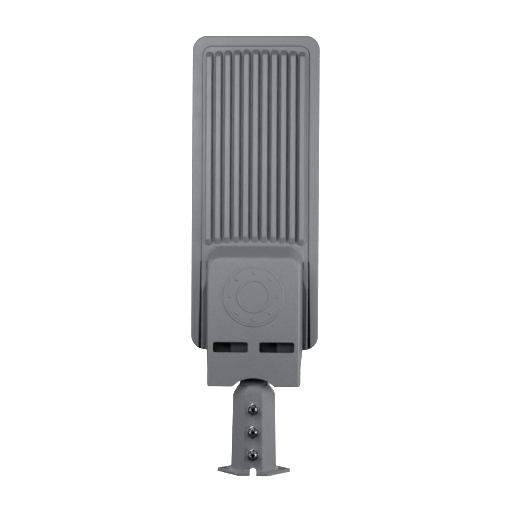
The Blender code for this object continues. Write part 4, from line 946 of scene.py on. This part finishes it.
sleeve = {
    "flatsLow": 0.0566,
    "flatsHigh": 0.0527,
    "height": 0.098,
    "nose": 0.0157,
    "facetEase": 0.0012,
    "bore": 0.023,
    "roof": 0.006,
    "flange": 0.0046,
    "flangeEase": 0.0011,
    "foot": 0.0045,
    "holeSpan": 0.075,
    "hole": 0.0035,
    "notchHalf": 0.0037,
    "notchHeight": 0.0098,
    "bead": 0.0011,
    "browHalf": 0.0175,
    "browDepth": 0.0052,
    "browRise": 0.0058,
}
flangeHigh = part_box("pole_adaptor")[1]


def octagon(width, front, back):
    cut = width * (1 - math.sqrt(0.5))
    wide = width / 2
    return [(wide, front + cut), (wide, back - cut), (wide - cut, back), (cut - wide, back),
            (-wide, back - cut), (-wide, front + cut), (cut - wide, front), (wide - cut, front)]


def sleeveBody():
    low, high, ease = sleeve["flatsLow"], sleeve["flatsHigh"], sleeve["facetEase"]
    rows = [(0.0, low, -low / 2, low / 2, ease), (sleeve["height"], high, -high / 2, high / 2, ease)]
    steps = 14
    for i in range(1, steps + 1):
        t = i / steps
        bow = 1 - math.sqrt(1 - (0.97 * t) ** 2)
        width = high + (tongueHalf * 2 - high) * t**1.15
        front = -high / 2 + (pivotY - tongueRadius + high / 2) * bow / 0.76
        back = high / 2 + (pivotY + tongueRadius - high / 2) * t
        rows.append((sleeve["height"] + sleeve["nose"] * t, width, front, back, ease + 0.004 * t))
    layers = [(z, filleted(octagon(width, front, back), corner, 5)) for z, width, front, back, corner in rows]
    return layered("pole_adaptor", "Z", layers)


def flangePlate():
    spanHalf, depthHalf = flangeHigh.x, flangeHigh.y
    quarter = [(spanHalf, 0.0035), (spanHalf - 0.006, 0.008), (0.023, depthHalf - 0.005), (0.018, depthHalf)]
    high, ease = sleeve["flange"], sleeve["flangeEase"]
    return bar("flange", "Z", mirrored(quarter), 0.003, 0.0, high, 0.0004, ease, 5)


def flangeFoot():  # the fillet between the flange and the sleeve
    reach, top = sleeve["foot"], sleeve["flange"]
    layers = []
    for z, outset in [(top - 0.0006, reach)] + rounding(top, 1, reach, 6):
        wide = sleeve["flatsLow"] + 2 * outset - 0.0006
        layers.append((z, filleted(octagon(wide, -wide / 2, wide / 2), 0.003, 4)))
    deep = flangeHigh.y - sleeve["flangeEase"]
    bounds = bar("foot_bounds", "Z", rect(-0.05, 0.05, -deep, deep), 0.001, 0.001, top + reach + 0.002)
    return combine(layered("flange_foot", "Z", layers), [bounds], "INTERSECT")


def notchOutline(low, grow=0.0):
    wide = sleeve["notchHalf"] + grow
    points = [Vector((-wide, low)), Vector((wide, low))]
    return points + arc(0.0, sleeve["notchHeight"] - sleeve["notchHalf"], wide, 0, 180, 16)


def notchBead():  # raised edge round the drain notch
    grow = sleeve["bead"] + 0.0006
    face = -sleeve["flatsLow"] / 2
    levels = [(face + 0.004, 0.0)] + rounding(face - sleeve["bead"], 1, 0.0008)[::-1]
    return layered("notch_bead", "Y", [(y, notchOutline(0.0002, grow - inset)) for y, inset in levels])


def tongue():
    base = sleeve["height"] + sleeve["nose"] - 0.004
    points = [(pivotY - tongueRadius, base), (pivotY + tongueRadius, base)]
    points += arc(pivotY, pivotZ, tongueRadius, 0, 180, 28)
    return bar("tongue", "X", points, 0.0001, -tongueHalf, tongueHalf, 0.001, 0.001, 2)


def brow():  # rounds the nose into the tongue
    base = sleeve["height"] + sleeve["nose"]
    wide, deep = sleeve["browHalf"], sleeve["browDepth"]
    front = pivotY - tongueRadius + 0.0022
    leans = [math.degrees(0.2 * i) for i in range(8)]
    layers = []
    for z, share in [(base - 0.003, 1.0)] + swell(base, sleeve["browRise"], 0.0, 1.0, leans):
        layers.append((z, [(wide * share * x, front + deep * share * y) for x, y in circle(1.0, 48)]))
    return layered("brow", "Z", layers)


def makeAdaptor():
    body = sleeveBody()
    weld(body, flangePlate(), flangeFoot(), tongue(), notchBead(), brow())
    hollow, roof, flange = sleeve["bore"], sleeve["height"] - sleeve["roof"], sleeve["flange"]
    tools = [
        drill("bore", "Z", -0.01, roof, hollow, (0.0, 0.0), 64),
        turned("mouth", "Z", [(-0.001, hollow + 0.0018), (0.0008, hollow)], (0.0, 0.0), 64),
        drill("pivot", "X", -0.03, 0.03, 0.0055, (pivotY, pivotZ), 32),
        layered("notch", "Y", [(y, notchOutline(-0.004)) for y in (-0.05, -0.010)]),
    ]
    radius = sleeve["hole"]
    profile = [(-0.01, radius), (flange - 0.0005, radius), (flange + 0.0006, radius + 0.0011)]
    for side in (-1, 1):
        tools.append(turned("lug_hole", "Z", profile, (side * sleeve["holeSpan"] / 2, 0.0), 32))
    for i in (1, 2, 3):
        tools.append(drill("screw_hole", "Y", -0.06, -0.010, 0.0042, middleOf(f"set_screw_{i}").xz, 24))
    carve(body, *tools)
    body.data.materials.append(headPaint)
    body.data.materials.append(paintedShadeDark)
    hinge = sleeve["height"] + sleeve["nose"] - 0.0004
    for face in body.data.polygons:  # painted shade: the hinge tongue under the tail and the inside of the bore are coloured dark to stand in for their shade
        x, y, z = face.center + face.normal * 0.0004
        onTongue = z > hinge and (abs(face.normal.z) < 0.04 or z > hinge + 0.006)
        if onTongue or (math.hypot(x, y) < hollow and z < roof):
            face.material_index = 1
    finish(body, None, "adaptor", "grey_paint", "pole_adaptor")


makeAdaptor()


lock = {"flats": 0.013, "bore": 0.00405, "radius": 0.004, "pitch": 0.00125, "key": 0.0041, "keyDepth": 0.0038}


def hexNut(name, axis, flats, low, high, bore, centre, turn=0.0):
    radius = flats / math.sqrt(3)
    body = bar(name, axis, hexagon(flats, centre, turn), 0.0003, low, high)
    inner = flats / 2 - 0.0004
    drop = (radius - inner) * 0.55
    outer = radius + 0.0001
    profile = [(low - 0.0001, inner), (low + drop, outer), (high - drop, outer), (high + 0.0001, inner)]
    combine(body, [turned("cone", axis, profile, centre, 64)], "INTERSECT")
    sink = 0.0006
    mouth = bore + sink + 0.001
    profile = [(low - 0.001, mouth), (low + sink, bore), (high - sink, bore), (high + 0.001, mouth)]
    return carve(body, turned("hole", axis, profile, centre, 40))


def makeLocks():
    low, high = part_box("lock_nut_1")
    firstZ = middleOf("lock_nut_1").z
    pitch = middleOf("lock_nut_2").z - firstZ
    lean = (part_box("lock_nut_3")[0].y - low.y) / 2
    nut = hexNut("lock_nuts", "Y", lock["flats"], 0.0, high.y - low.y, lock["bore"], (0.0, 0.0), 90)
    nuts = repeated(
        "lock_nuts", "line", nut, Count=3, Start=(0.0, low.y, firstZ), Step=(0.0, lean, pitch), Material=zinc
    )
    finish(nuts, None, "adaptor", "zinc_steel", "lock_nut_1", "lock_nut_2", "lock_nut_3")
    depth = lock["keyDepth"]
    for i in (1, 2, 3):
        name = f"set_screw_{i}"
        start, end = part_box(name)
        x, z = middleOf(name).xz
        rod = threaded(name + "_thread", "Y", (x, z), start.y, end.y, lock["radius"], lock["pitch"])
        key = bar("key", "Y", hexagon(lock["key"], (x, z), 30), 0.0, start.y - 0.001, start.y + depth)
        mouth = turned("key_mouth", "Y", [(start.y - 0.0004, 0.0029), (start.y + 0.0005, 0.0021)], (x, z), 32)
        carve(rod, key, mouth)
        rod.data.materials.append(zinc)
        rod.data.materials.append(paintedShadowBlack)
        for face in rod.data.polygons:  # painted shadow: the hex socket is coloured near-black to stand in for the shade inside it
            offX, offY, offZ = face.center + face.normal * 0.0003
            if start.y + 0.0002 < offY < start.y + depth and math.hypot(offX - x, offZ - z) < 0.0022:
                face.material_index = 1
        finish(rod, None, name, "zinc_steel", name, sharp=40)


makeLocks()
print("adaptor, lock nuts and set screws made")


# tilt pivot

pivot = {"flats": 0.016, "radius": 0.005, "pitch": 0.0015, "bore": 0.00506, "washerBore": 0.0053,
         "ease": 0.0004}


def makePivot():
    centre = (pivotY, pivotZ)
    low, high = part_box("pivot_bolt")
    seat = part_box("pivot_washer_head")[1].x + fit
    head = bar("pivot_bolt_head", "X", hexagon(pivot["flats"], centre), 0.0004, seat, high.x)
    radius = pivot["flats"] / math.sqrt(3)
    profile = [(seat - 0.001, radius + 0.001), (high.x - 0.0009, radius), (high.x + 0.00005, radius - 0.0016)]
    combine(head, [turned("cone", "X", profile, centre, 64)], "INTERSECT")
    weld(head, threaded("shank", "X", centre, low.x, seat + 0.001, pivot["radius"], pivot["pitch"], 36))
    finish(head, zinc, "head", "zinc_steel", "pivot_bolt", sharp=40)
    ease, bore = pivot["ease"], pivot["washerBore"]
    for name in ("pivot_washer_head", "pivot_washer_nut", "pivot_spring_washer"):
        start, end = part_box(name)
        near, far = start.x, end.x
        radius = (end.z - start.z) / 2
        profile = [(near, bore), (near, radius - ease), (near + ease, radius), (far - ease, radius),
                   (far, radius - ease), (far, bore)]
        washer = turned(name + "_ring", "X", profile, centre, 56)
        carve(washer, drill("washer_hole", "X", near - 0.01, far + 0.01, bore, centre))
        if name == "pivot_spring_washer":  # the split, cut on a slant
            split = [(-0.0012, 0.0), (0.0004, 0.0), (0.0016, 0.02), (0.0, 0.02)]
            points = [(pivotY + y, pivotZ + z) for y, z in split]
            carve(washer, bar("split", "X", points, 0.0, near - 0.001, far + 0.001))
        finish(washer, zinc, "head", "zinc_steel", name)
    start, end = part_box("pivot_nut")
    nut = hexNut("pivot_nut_hex", "X", pivot["flats"], start.x, end.x, pivot["bore"], centre)
    finish(nut, zinc, "head", "zinc_steel", "pivot_nut")


makePivot()


# light side

screw = {"rise": 0.0024, "shank": 0.0017}


def panScrew(headRadius, depth):  # cross recess, head on +Y, seat at the origin
    rise, shank = screw["rise"], screw["shank"]
    profile = [(-depth, 0.0), (-depth, shank * 0.45), (-depth + 0.001, shank), (0.0, shank)]
    profile += [(0.0, headRadius - 0.0002), (0.0002, headRadius)]
    for up, out in ((0.45, 1.0), (0.75, 0.9), (0.93, 0.62), (1.0, 0.3), (1.0, 0.0)):
        profile.append((rise * up, headRadius * out))
    body = turned("unit", "Y", profile, (0.0, 0.0), 36)
    arm, slot = headRadius * 0.56, headRadius * 0.12
    for wide, high in ((arm, slot), (slot, arm)):
        layers = []
        for y, share in ((rise + 0.001, 1.1), (rise * 0.2, 0.72)):
            layers.append((y, rect(-wide * share, wide * share, -high * share, high * share)))
        carve(body, layered("arm", "Y", layers))
    return body


def makeScrews(kind, count, name):
    replaced = [f"{kind}_{i}" for i in range(1, count + 1)]
    boxes = [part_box(node) for node in replaced]
    low, high = boxes[0]
    seat = high.y - screw["rise"]
    unit = panScrew((high.x - low.x) / 2 + 0.0001, seat - low.y)
    points = [((a.x + b.x) / 2, seat, (a.z + b.z) / 2) for a, b in boxes]
    made = repeated(name, "points", unit, points, Seed=7, Material=stainless)
    finish(made, None, "head", "stainless", *replaced, sharp=40)


lens = {
    "columns": 4,
    "rows": 8,
    "pitchX": 0.027,
    "pitchZ": 0.0265,
    "radius": 0.0095,
    "rise": 0.0045,
    "plate": 0.0025,
    "field": 0.0022,            # the raised field that the domes stand on
    "openHalf": 0.0585,
    "border": 0.0157,           # from the frame's end to its opening
    "board": 0.0016,
    "package": 0.0025,          # half a LED package's side
}


def makeLight():
    low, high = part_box("lens_plate")
    openLow, openHigh, openHalf = frameLow.z + lens["border"], frameHigh.z - lens["border"], lens["openHalf"]
    middle = (openLow + openHigh) / 2
    plateFace = low.y + lens["plate"]
    fieldFace = plateFace + lens["field"]
    plate = bar("lens_cover", "Y", frontOf(low, high), 0.005, low.y, plateFace, 0.0003, 0.0003)
    inset = 0.0009
    points = rect(-openHalf + inset, openHalf - inset, openLow + inset, openHigh - inset)
    field = bar("field", "Y", points, 0.004, plateFace - 0.0005, fieldFace, 0.0, 0.0007)
    profile = [(-0.0005, lens["radius"] + 0.0004), (0.0, lens["radius"] + 0.0004)]
    profile += swell(0.0, lens["rise"], 0.0, lens["radius"], range(8, 90, 12)) + [(lens["rise"], 0.0)]
    dome = turned("dome", "Y", profile, (0.0, 0.0), 32)
    grid = {"Columns": lens["columns"], "Rows": lens["rows"]}
    grid |= {"Pitch_X": lens["pitchX"], "Pitch_Z": lens["pitchZ"]}
    domes = repeated("domes", "grid", dome, Centre=(0.0, fieldFace, middle), Material=lensClear, **grid)
    weld(plate, field, domes)
    finish(plate, lensClear, "head", "clear_lens", "lens_plate", sharp=30)

    low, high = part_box("led_board")
    boardFace = low.y + lens["board"]
    board = bar("led_board_plate", "Y", frontOf(low, high), 0.003, low.y, boardFace, 0.0001, 0.0001)
    plugX = middleOf("led_lead").x
    points = rect(plugX - 0.004, plugX + 0.004, low.z + 0.0002, low.z + 0.0062)
    weld(board, bar("plug", "Y", points, 0.0005, boardFace - 0.0002, high.y, 0.0, 0.0003))
    finish(board, whiteMask, "head", "board_white", "led_board")
    side = lens["package"]
    package = bar("package", "Y", rect(-side, side, -side, side), 0.0003, -0.0002, 0.0007, 0.0, 0.0001, 3, 2)
    glow = [(0.0004, 0.0019), (0.0007, 0.0019), (0.0008, 0.0016), (0.00088, 0.0008), (0.0009, 0.0)]
    spot = turned("spot", "Y", glow, (0.0, 0.0), 24)
    for name, unit, look, sharp in (
        ("led_packages", package, ceramic, 32),
        ("led_phosphor_spots", spot, phosphor, 50),
    ):
        made = repeated(name, "grid", unit, Centre=(0.0, boardFace, middle), Material=look, **grid)
        finish(made, None, "head", "board_white", sharp=sharp)

    points = frontOf(frameLow, frameHigh)
    rim = bar("lens_frame_bar", "Y", points, lensCorners, frameLow.y, frameHigh.y, 0.0, 0.0007, 8)
    points = rect(-openHalf, openHalf, openLow, openHigh)
    carve(rim, lipCutter("opening", "Y", points, 0.005, frameHigh.y, -1, 0.005, 0.0007))
    finish(rim, coverPaint, "head", "cover_paint", "lens_frame")


makeLight()
makeScrews("frame_screw", 8, "frame_screws")
makeScrews("cover_screw", 6, "cover_screws")
print("light side made")


# compartment cover, button and indicator

button = {"hole": 0.0052, "barrel": 0.0048, "well": 0.0038, "nutFlats": 0.0118, "nutBore": 0.00506}
eye = {"hole": 0.00415, "mouth": 0.0056, "dome": 0.0016}
lid = {"thick": 0.0025, "past": 0.002, "corner": 0.008, "ease": 0.0006}


def makeCover():
    face, panelFace = coverLow.y + lid["thick"], coverHigh.y
    points = frontOf(coverLow, coverHigh)
    cover = bar("compartment_lid", "Y", points, coverCorners, coverLow.y, face, 0.0, 0.0007, 8)
    levels = [(face - 0.0005, -0.0006)] + [(at, -inset) for at, inset in rounding(face, 1, lid["ease"], 3)]
    levels += [(at, inset + 0.0008) for at, inset in rounding(panelFace, -1, lid["ease"], 3)[::-1]]
    wide = cavityHalf + lid["past"]
    points = rect(-wide, wide, bulkheadHigh - lid["past"], cavityTop + lid["past"])
    weld(cover, levelled("panel", "Y", points, lid["corner"], levels, 8))
    behind = coverLow.y - 0.005
    spot, eyeSpot = middleOf("button_cap").xz, middleOf("indicator_window").xz
    profile = [(behind, eye["hole"]), (panelFace - 0.0004, eye["hole"]), (panelFace + 0.001, eye["mouth"])]
    hole = drill("button_hole", "Y", behind, panelFace + 0.01, button["hole"], spot)
    carve(cover, hole, turned("eye_hole", "Y", profile, eyeSpot, 40))
    finish(cover, coverPaint, "head", "cover_paint", "compartment_cover")

    low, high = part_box("button_housing")
    radius, barrel = (high.x - low.x) / 2, button["barrel"]
    flange = panelFace + fit
    profile = [(low.y, 0.0), (low.y, barrel - 0.0004), (low.y + 0.0006, barrel), (flange, barrel)]
    profile += [(flange, radius - 0.0003), (flange + 0.0003, radius)]
    profile += [(at, radius - inset) for at, inset in rounding(high.y, -1, 0.0009, 5)[::-1]]
    profile += [(high.y, 0.0046), (high.y - 0.0006, 0.0040), (high.y - 0.0006, 0.0)]
    bezel = turned("button_bezel", "Y", profile, spot, 56)
    carve(bezel, drill("well", "Y", coverLow.y - 0.001, high.y + 0.001, button["well"], spot, 48))
    finish(bezel, nylon, "head", "black_nylon", "button_housing")
    low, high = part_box("button_nut")
    nut = hexNut("button_nut_hex", "Y", button["nutFlats"], low.y, high.y, button["nutBore"], spot)
    finish(nut, zinc, "head", "zinc_steel", "button_nut")
    low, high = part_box("button_cap")
    radius = (high.x - low.x) / 2
    profile = [(low.y, 0.0), (low.y, radius - 0.0002), (low.y + 0.0002, radius)]
    profile += [(at, radius - inset) for at, inset in rounding(high.y, -1, 0.0008, 5)[::-1]]
    profile += [(high.y - 0.00015, radius * 0.55), (high.y - 0.00035, radius * 0.25), (high.y - 0.0004, 0.0)]
    cap = turned("button_top", "Y", profile, spot)
    finish(cap, redRubber, "button", "red_rubber", "button_cap", sharp=40)
    low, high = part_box("indicator_window")
    radius, dome = (high.x - low.x) / 2, eye["dome"]
    profile = [(low.y, 0.0), (low.y, radius)] + swell(high.y - dome, dome, 0.0, radius, range(0, 90, 15))
    cap = turned("indicator_eye", "Y", profile + [(high.y, 0.0)], eyeSpot)
    finish(cap, smoked, "head", "smoked_window", "indicator_window", sharp=40)


makeCover()


# cable gland under the bulkhead

gland = {"flats": 0.015, "flange": 0.004, "thread": 0.006, "pitch": 0.0015, "clamp": 0.005, "lead": 0.0036,
         "nut": 0.0075, "ridge": 0.0003, "ridges": 16, "seal": 0.0047, "nutBore": 0.00606}


def makeGland():
    centre = tuple(middleOf("gland_nut").xy)
    low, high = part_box("gland_body")
    flange = bulkheadLow - fit
    points = hexagon(gland["flats"], centre)
    body = bar("gland_stem", "Z", points, 0.0005, flange - gland["flange"], flange, 0.0004, 0.0002)
    stem = threaded("stem", "Z", centre, flange - 0.0005, high.z, gland["thread"], gland["pitch"], 36)
    grip = gland["clamp"]
    profile = [(low.z, grip - 0.0004), (low.z + 0.0006, grip), (flange - 0.003, grip)]
    clamp = turned("clamp", "Z", profile, centre, 40)
    weld(body, stem, clamp)
    carve(body, drill("lead_way", "Z", low.z - 0.01, high.z + 0.01, gland["lead"], centre))
    finish(body, nylon, "head", "black_nylon", "gland_body", sharp=40)
    low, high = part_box("gland_nut")
    nut = gland["nut"]
    sides = gland["ridges"] * 6
    layers = []
    for z, radius, ridge in (
        (low.z, nut - 0.0019, 0.0), (low.z + 0.0005, nut - 0.0015, 0.0), (low.z + 0.0025, nut - 0.0002, 0.0),
        (low.z + 0.0032, nut, gland["ridge"]), (high.z - 0.0006, nut, gland["ridge"]),
        (high.z - 0.0001, nut - 0.0002, 0.0), (high.z, nut - 0.0005, 0.0),
    ):
        outline = []
        for k in range(sides):
            lean = math.tau * k / sides
            reach = radius + ridge * math.cos(lean * gland["ridges"])
            outline.append((centre[0] + reach * math.cos(lean), centre[1] + reach * math.sin(lean)))
        layers.append((z, outline))
    cap = layered("gland_cap", "Z", layers)
    bore = drill("nut_bore", "Z", low.z + 0.0018, high.z + 0.01, grip + 0.00015, centre)
    profile = [(low.z - 0.0005, 0.0046), (low.z + 0.0006, 0.0038), (high.z, 0.0038)]
    way = turned("nut_mouth", "Z", profile, centre, 40)
    carve(cap, bore, way)
    finish(cap, nylon, "head", "black_nylon", "gland_nut", sharp=40)
    low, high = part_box("gland_seal")
    ring, ease = gland["seal"], 0.0003
    profile = [(low.z, ring - ease), (low.z + ease, ring), (high.z - ease, ring), (high.z, ring - ease)]
    seal = turned("gland_ring", "Z", profile, centre, 40)
    carve(seal, drill("seal_way", "Z", low.z - 0.01, high.z + 0.01, 0.0026, centre, 32))
    finish(seal, silicone, "head", "black_rubber", "gland_seal")
    low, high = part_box("gland_locknut")
    locknut = hexNut("gland_lock_hex", "Z", gland["flats"], low.z, high.z, gland["nutBore"], centre)
    finish(locknut, nylon, "head", "black_nylon", "gland_locknut")


makeGland()
print("cover, button, indicator and gland made")


# CAD pieces that keep their shape get their finish

kept = [
    (wrap, "battery_cell_1", "battery_cell_2", "battery_cell_3"),
    (nylon, "cell_holder_lower", "cell_holder_upper"),
    (nickel, "cell_strip_lower", "cell_strip_upper"),
    (greenMask, "controller_board"),
    (silicone, "led_lead", "cover_gasket", "lens_gasket"),
]
for look, *pieces in kept:
    for piece in pieces:
        nodes[piece].data.materials.clear()
        nodes[piece].data.materials.append(look)
print("inner pieces finished")


# floor, lights and camera

studio = {
    "floorHalf": 3.0,
    "floorDrop": 0.18,          # the head is held by its pole, clear of the floor
    "sweepStart": 1.2,
    "sweepRadius": 0.8,
    "sweepHeight": 3.0,
    "cameraDistance": 1.305,
    "cameraHeight": 0.2714,
    "cameraTurn": 2.0,
    "cameraRoll": 0.34,
    "lens": 73.45,
}


def makeFloor():  # pale floor that curves up into a backdrop
    wide, level = studio["floorHalf"], -studio["floorDrop"]
    start, radius = studio["sweepStart"], studio["sweepRadius"]
    line = [(-wide, level)] + [tuple(p) for p in arc(start, level + radius, radius, -90, 0, 12)]
    line.append((start + radius, studio["sweepHeight"]))
    mesh = bpy.data.meshes.new("floor")
    corners = [(x, y, z) for y, z in line for x in (-wide, wide)]
    faces = [(2 * i, 2 * i + 1, 2 * i + 3, 2 * i + 2) for i in range(len(line) - 1)]
    mesh.from_pydata(corners, [], faces)
    mesh.shade_smooth()
    floor = addObject("floor", mesh)
    made, tree, shader = newMaterial("pale_paper")
    tint = spread(tree, noise(tree, 3.0), 0.98, 1.0)
    plug(shader, {"Base Color": shaded(tree, (0.93, 0.93, 0.93), tint), "Roughness": 0.9})
    mesh.materials.append(made)
    floor.visible_diffuse = False  # keeps its bounce and its mirror image off the head
    floor.visible_glossy = False


def softLight(name, position, target, size, power):
    lamp = bpy.data.lights.new(name, "AREA")
    lamp.shape = "RECTANGLE"
    lamp.size, lamp.size_y = size
    lamp.energy = power
    made = addObject(name, lamp)
    made.location = position
    made.rotation_euler = (Vector(target) - Vector(position)).to_track_quat("-Z", "Y").to_euler()
    made.visible_camera = False


# name, position, target, size, watts
lamps = [
    ("softbox_low_left", (-0.94, -0.34, 0.1), (0.0, 0.0, 0.3), (0.35, 0.35), 2.4),
    ("softbox_low_right", (0.94, -0.34, 0.1), (0.0, 0.0, 0.3), (0.35, 0.35), 5.4),
    ("close_left", (-0.2, -0.5, 0.5), (0.0, 0.0, 0.5), (0.25, 0.25), 1.95),
    ("close_right", (0.3, -0.35, 0.4), (0.0, 0.0, 0.4), (0.25, 0.25), 0.72),
    ("close_low", (-0.4, -0.3, 0.1), (0.0, 0.0, 0.1), (0.25, 0.25), 0.14),
    ("rear_left", (-0.8, 1.0, 0.8), (0.0, 0.0, 0.3), (0.6, 0.6), 7.0),
    ("rear_right", (0.9, 1.1, 0.5), (0.0, 0.0, 0.3), (0.6, 0.6), 8.0),
    ("backdrop", (0.0, 0.3, 2.4), (0.0, 1.8, 0.5), (2.8, 1.0), 130.0),
    ("overhead", (0.0, -0.5, 3.0), (0.0, -0.5, 0.0), (5.0, 5.0), 260.0),
]


def makeStudio():
    makeFloor()
    world = bpy.data.worlds.new("studio")
    world.use_nodes = True
    plug(world.node_tree.nodes["Background"], {"Color": (0.97, 0.98, 1.0, 1), "Strength": 1.0})
    world.cycles_visibility.diffuse = False
    world.cycles_visibility.glossy = False
    bpy.context.scene.world = world
    for lamp in lamps:
        softLight(*lamp)
    paper = bpy.data.collections.new("paper")
    paper.objects.link(bpy.data.objects["floor"])
    for name in ("backdrop", "overhead"):
        bpy.data.objects[name].light_linking.receiver_collection = paper
    camera = bpy.data.cameras.new("camera")
    camera.sensor_width = 36.0
    camera.lens = studio["lens"]
    camera.clip_end = 50.0
    stand = addObject("camera", camera)
    turn = math.radians(studio["cameraTurn"])
    distance = studio["cameraDistance"]
    stand.location = (distance * math.sin(turn), -distance * math.cos(turn), studio["cameraHeight"])
    level = Matrix.Rotation(turn, 4, "Z") @ Matrix.Rotation(math.radians(90), 4, "X")
    stand.rotation_euler = (level @ Matrix.Rotation(math.radians(studio["cameraRoll"]), 4, "Z")).to_euler()
    bpy.context.scene.camera = stand
    bpy.context.scene.view_settings.view_transform = "Standard"


makeStudio()
print("studio made")
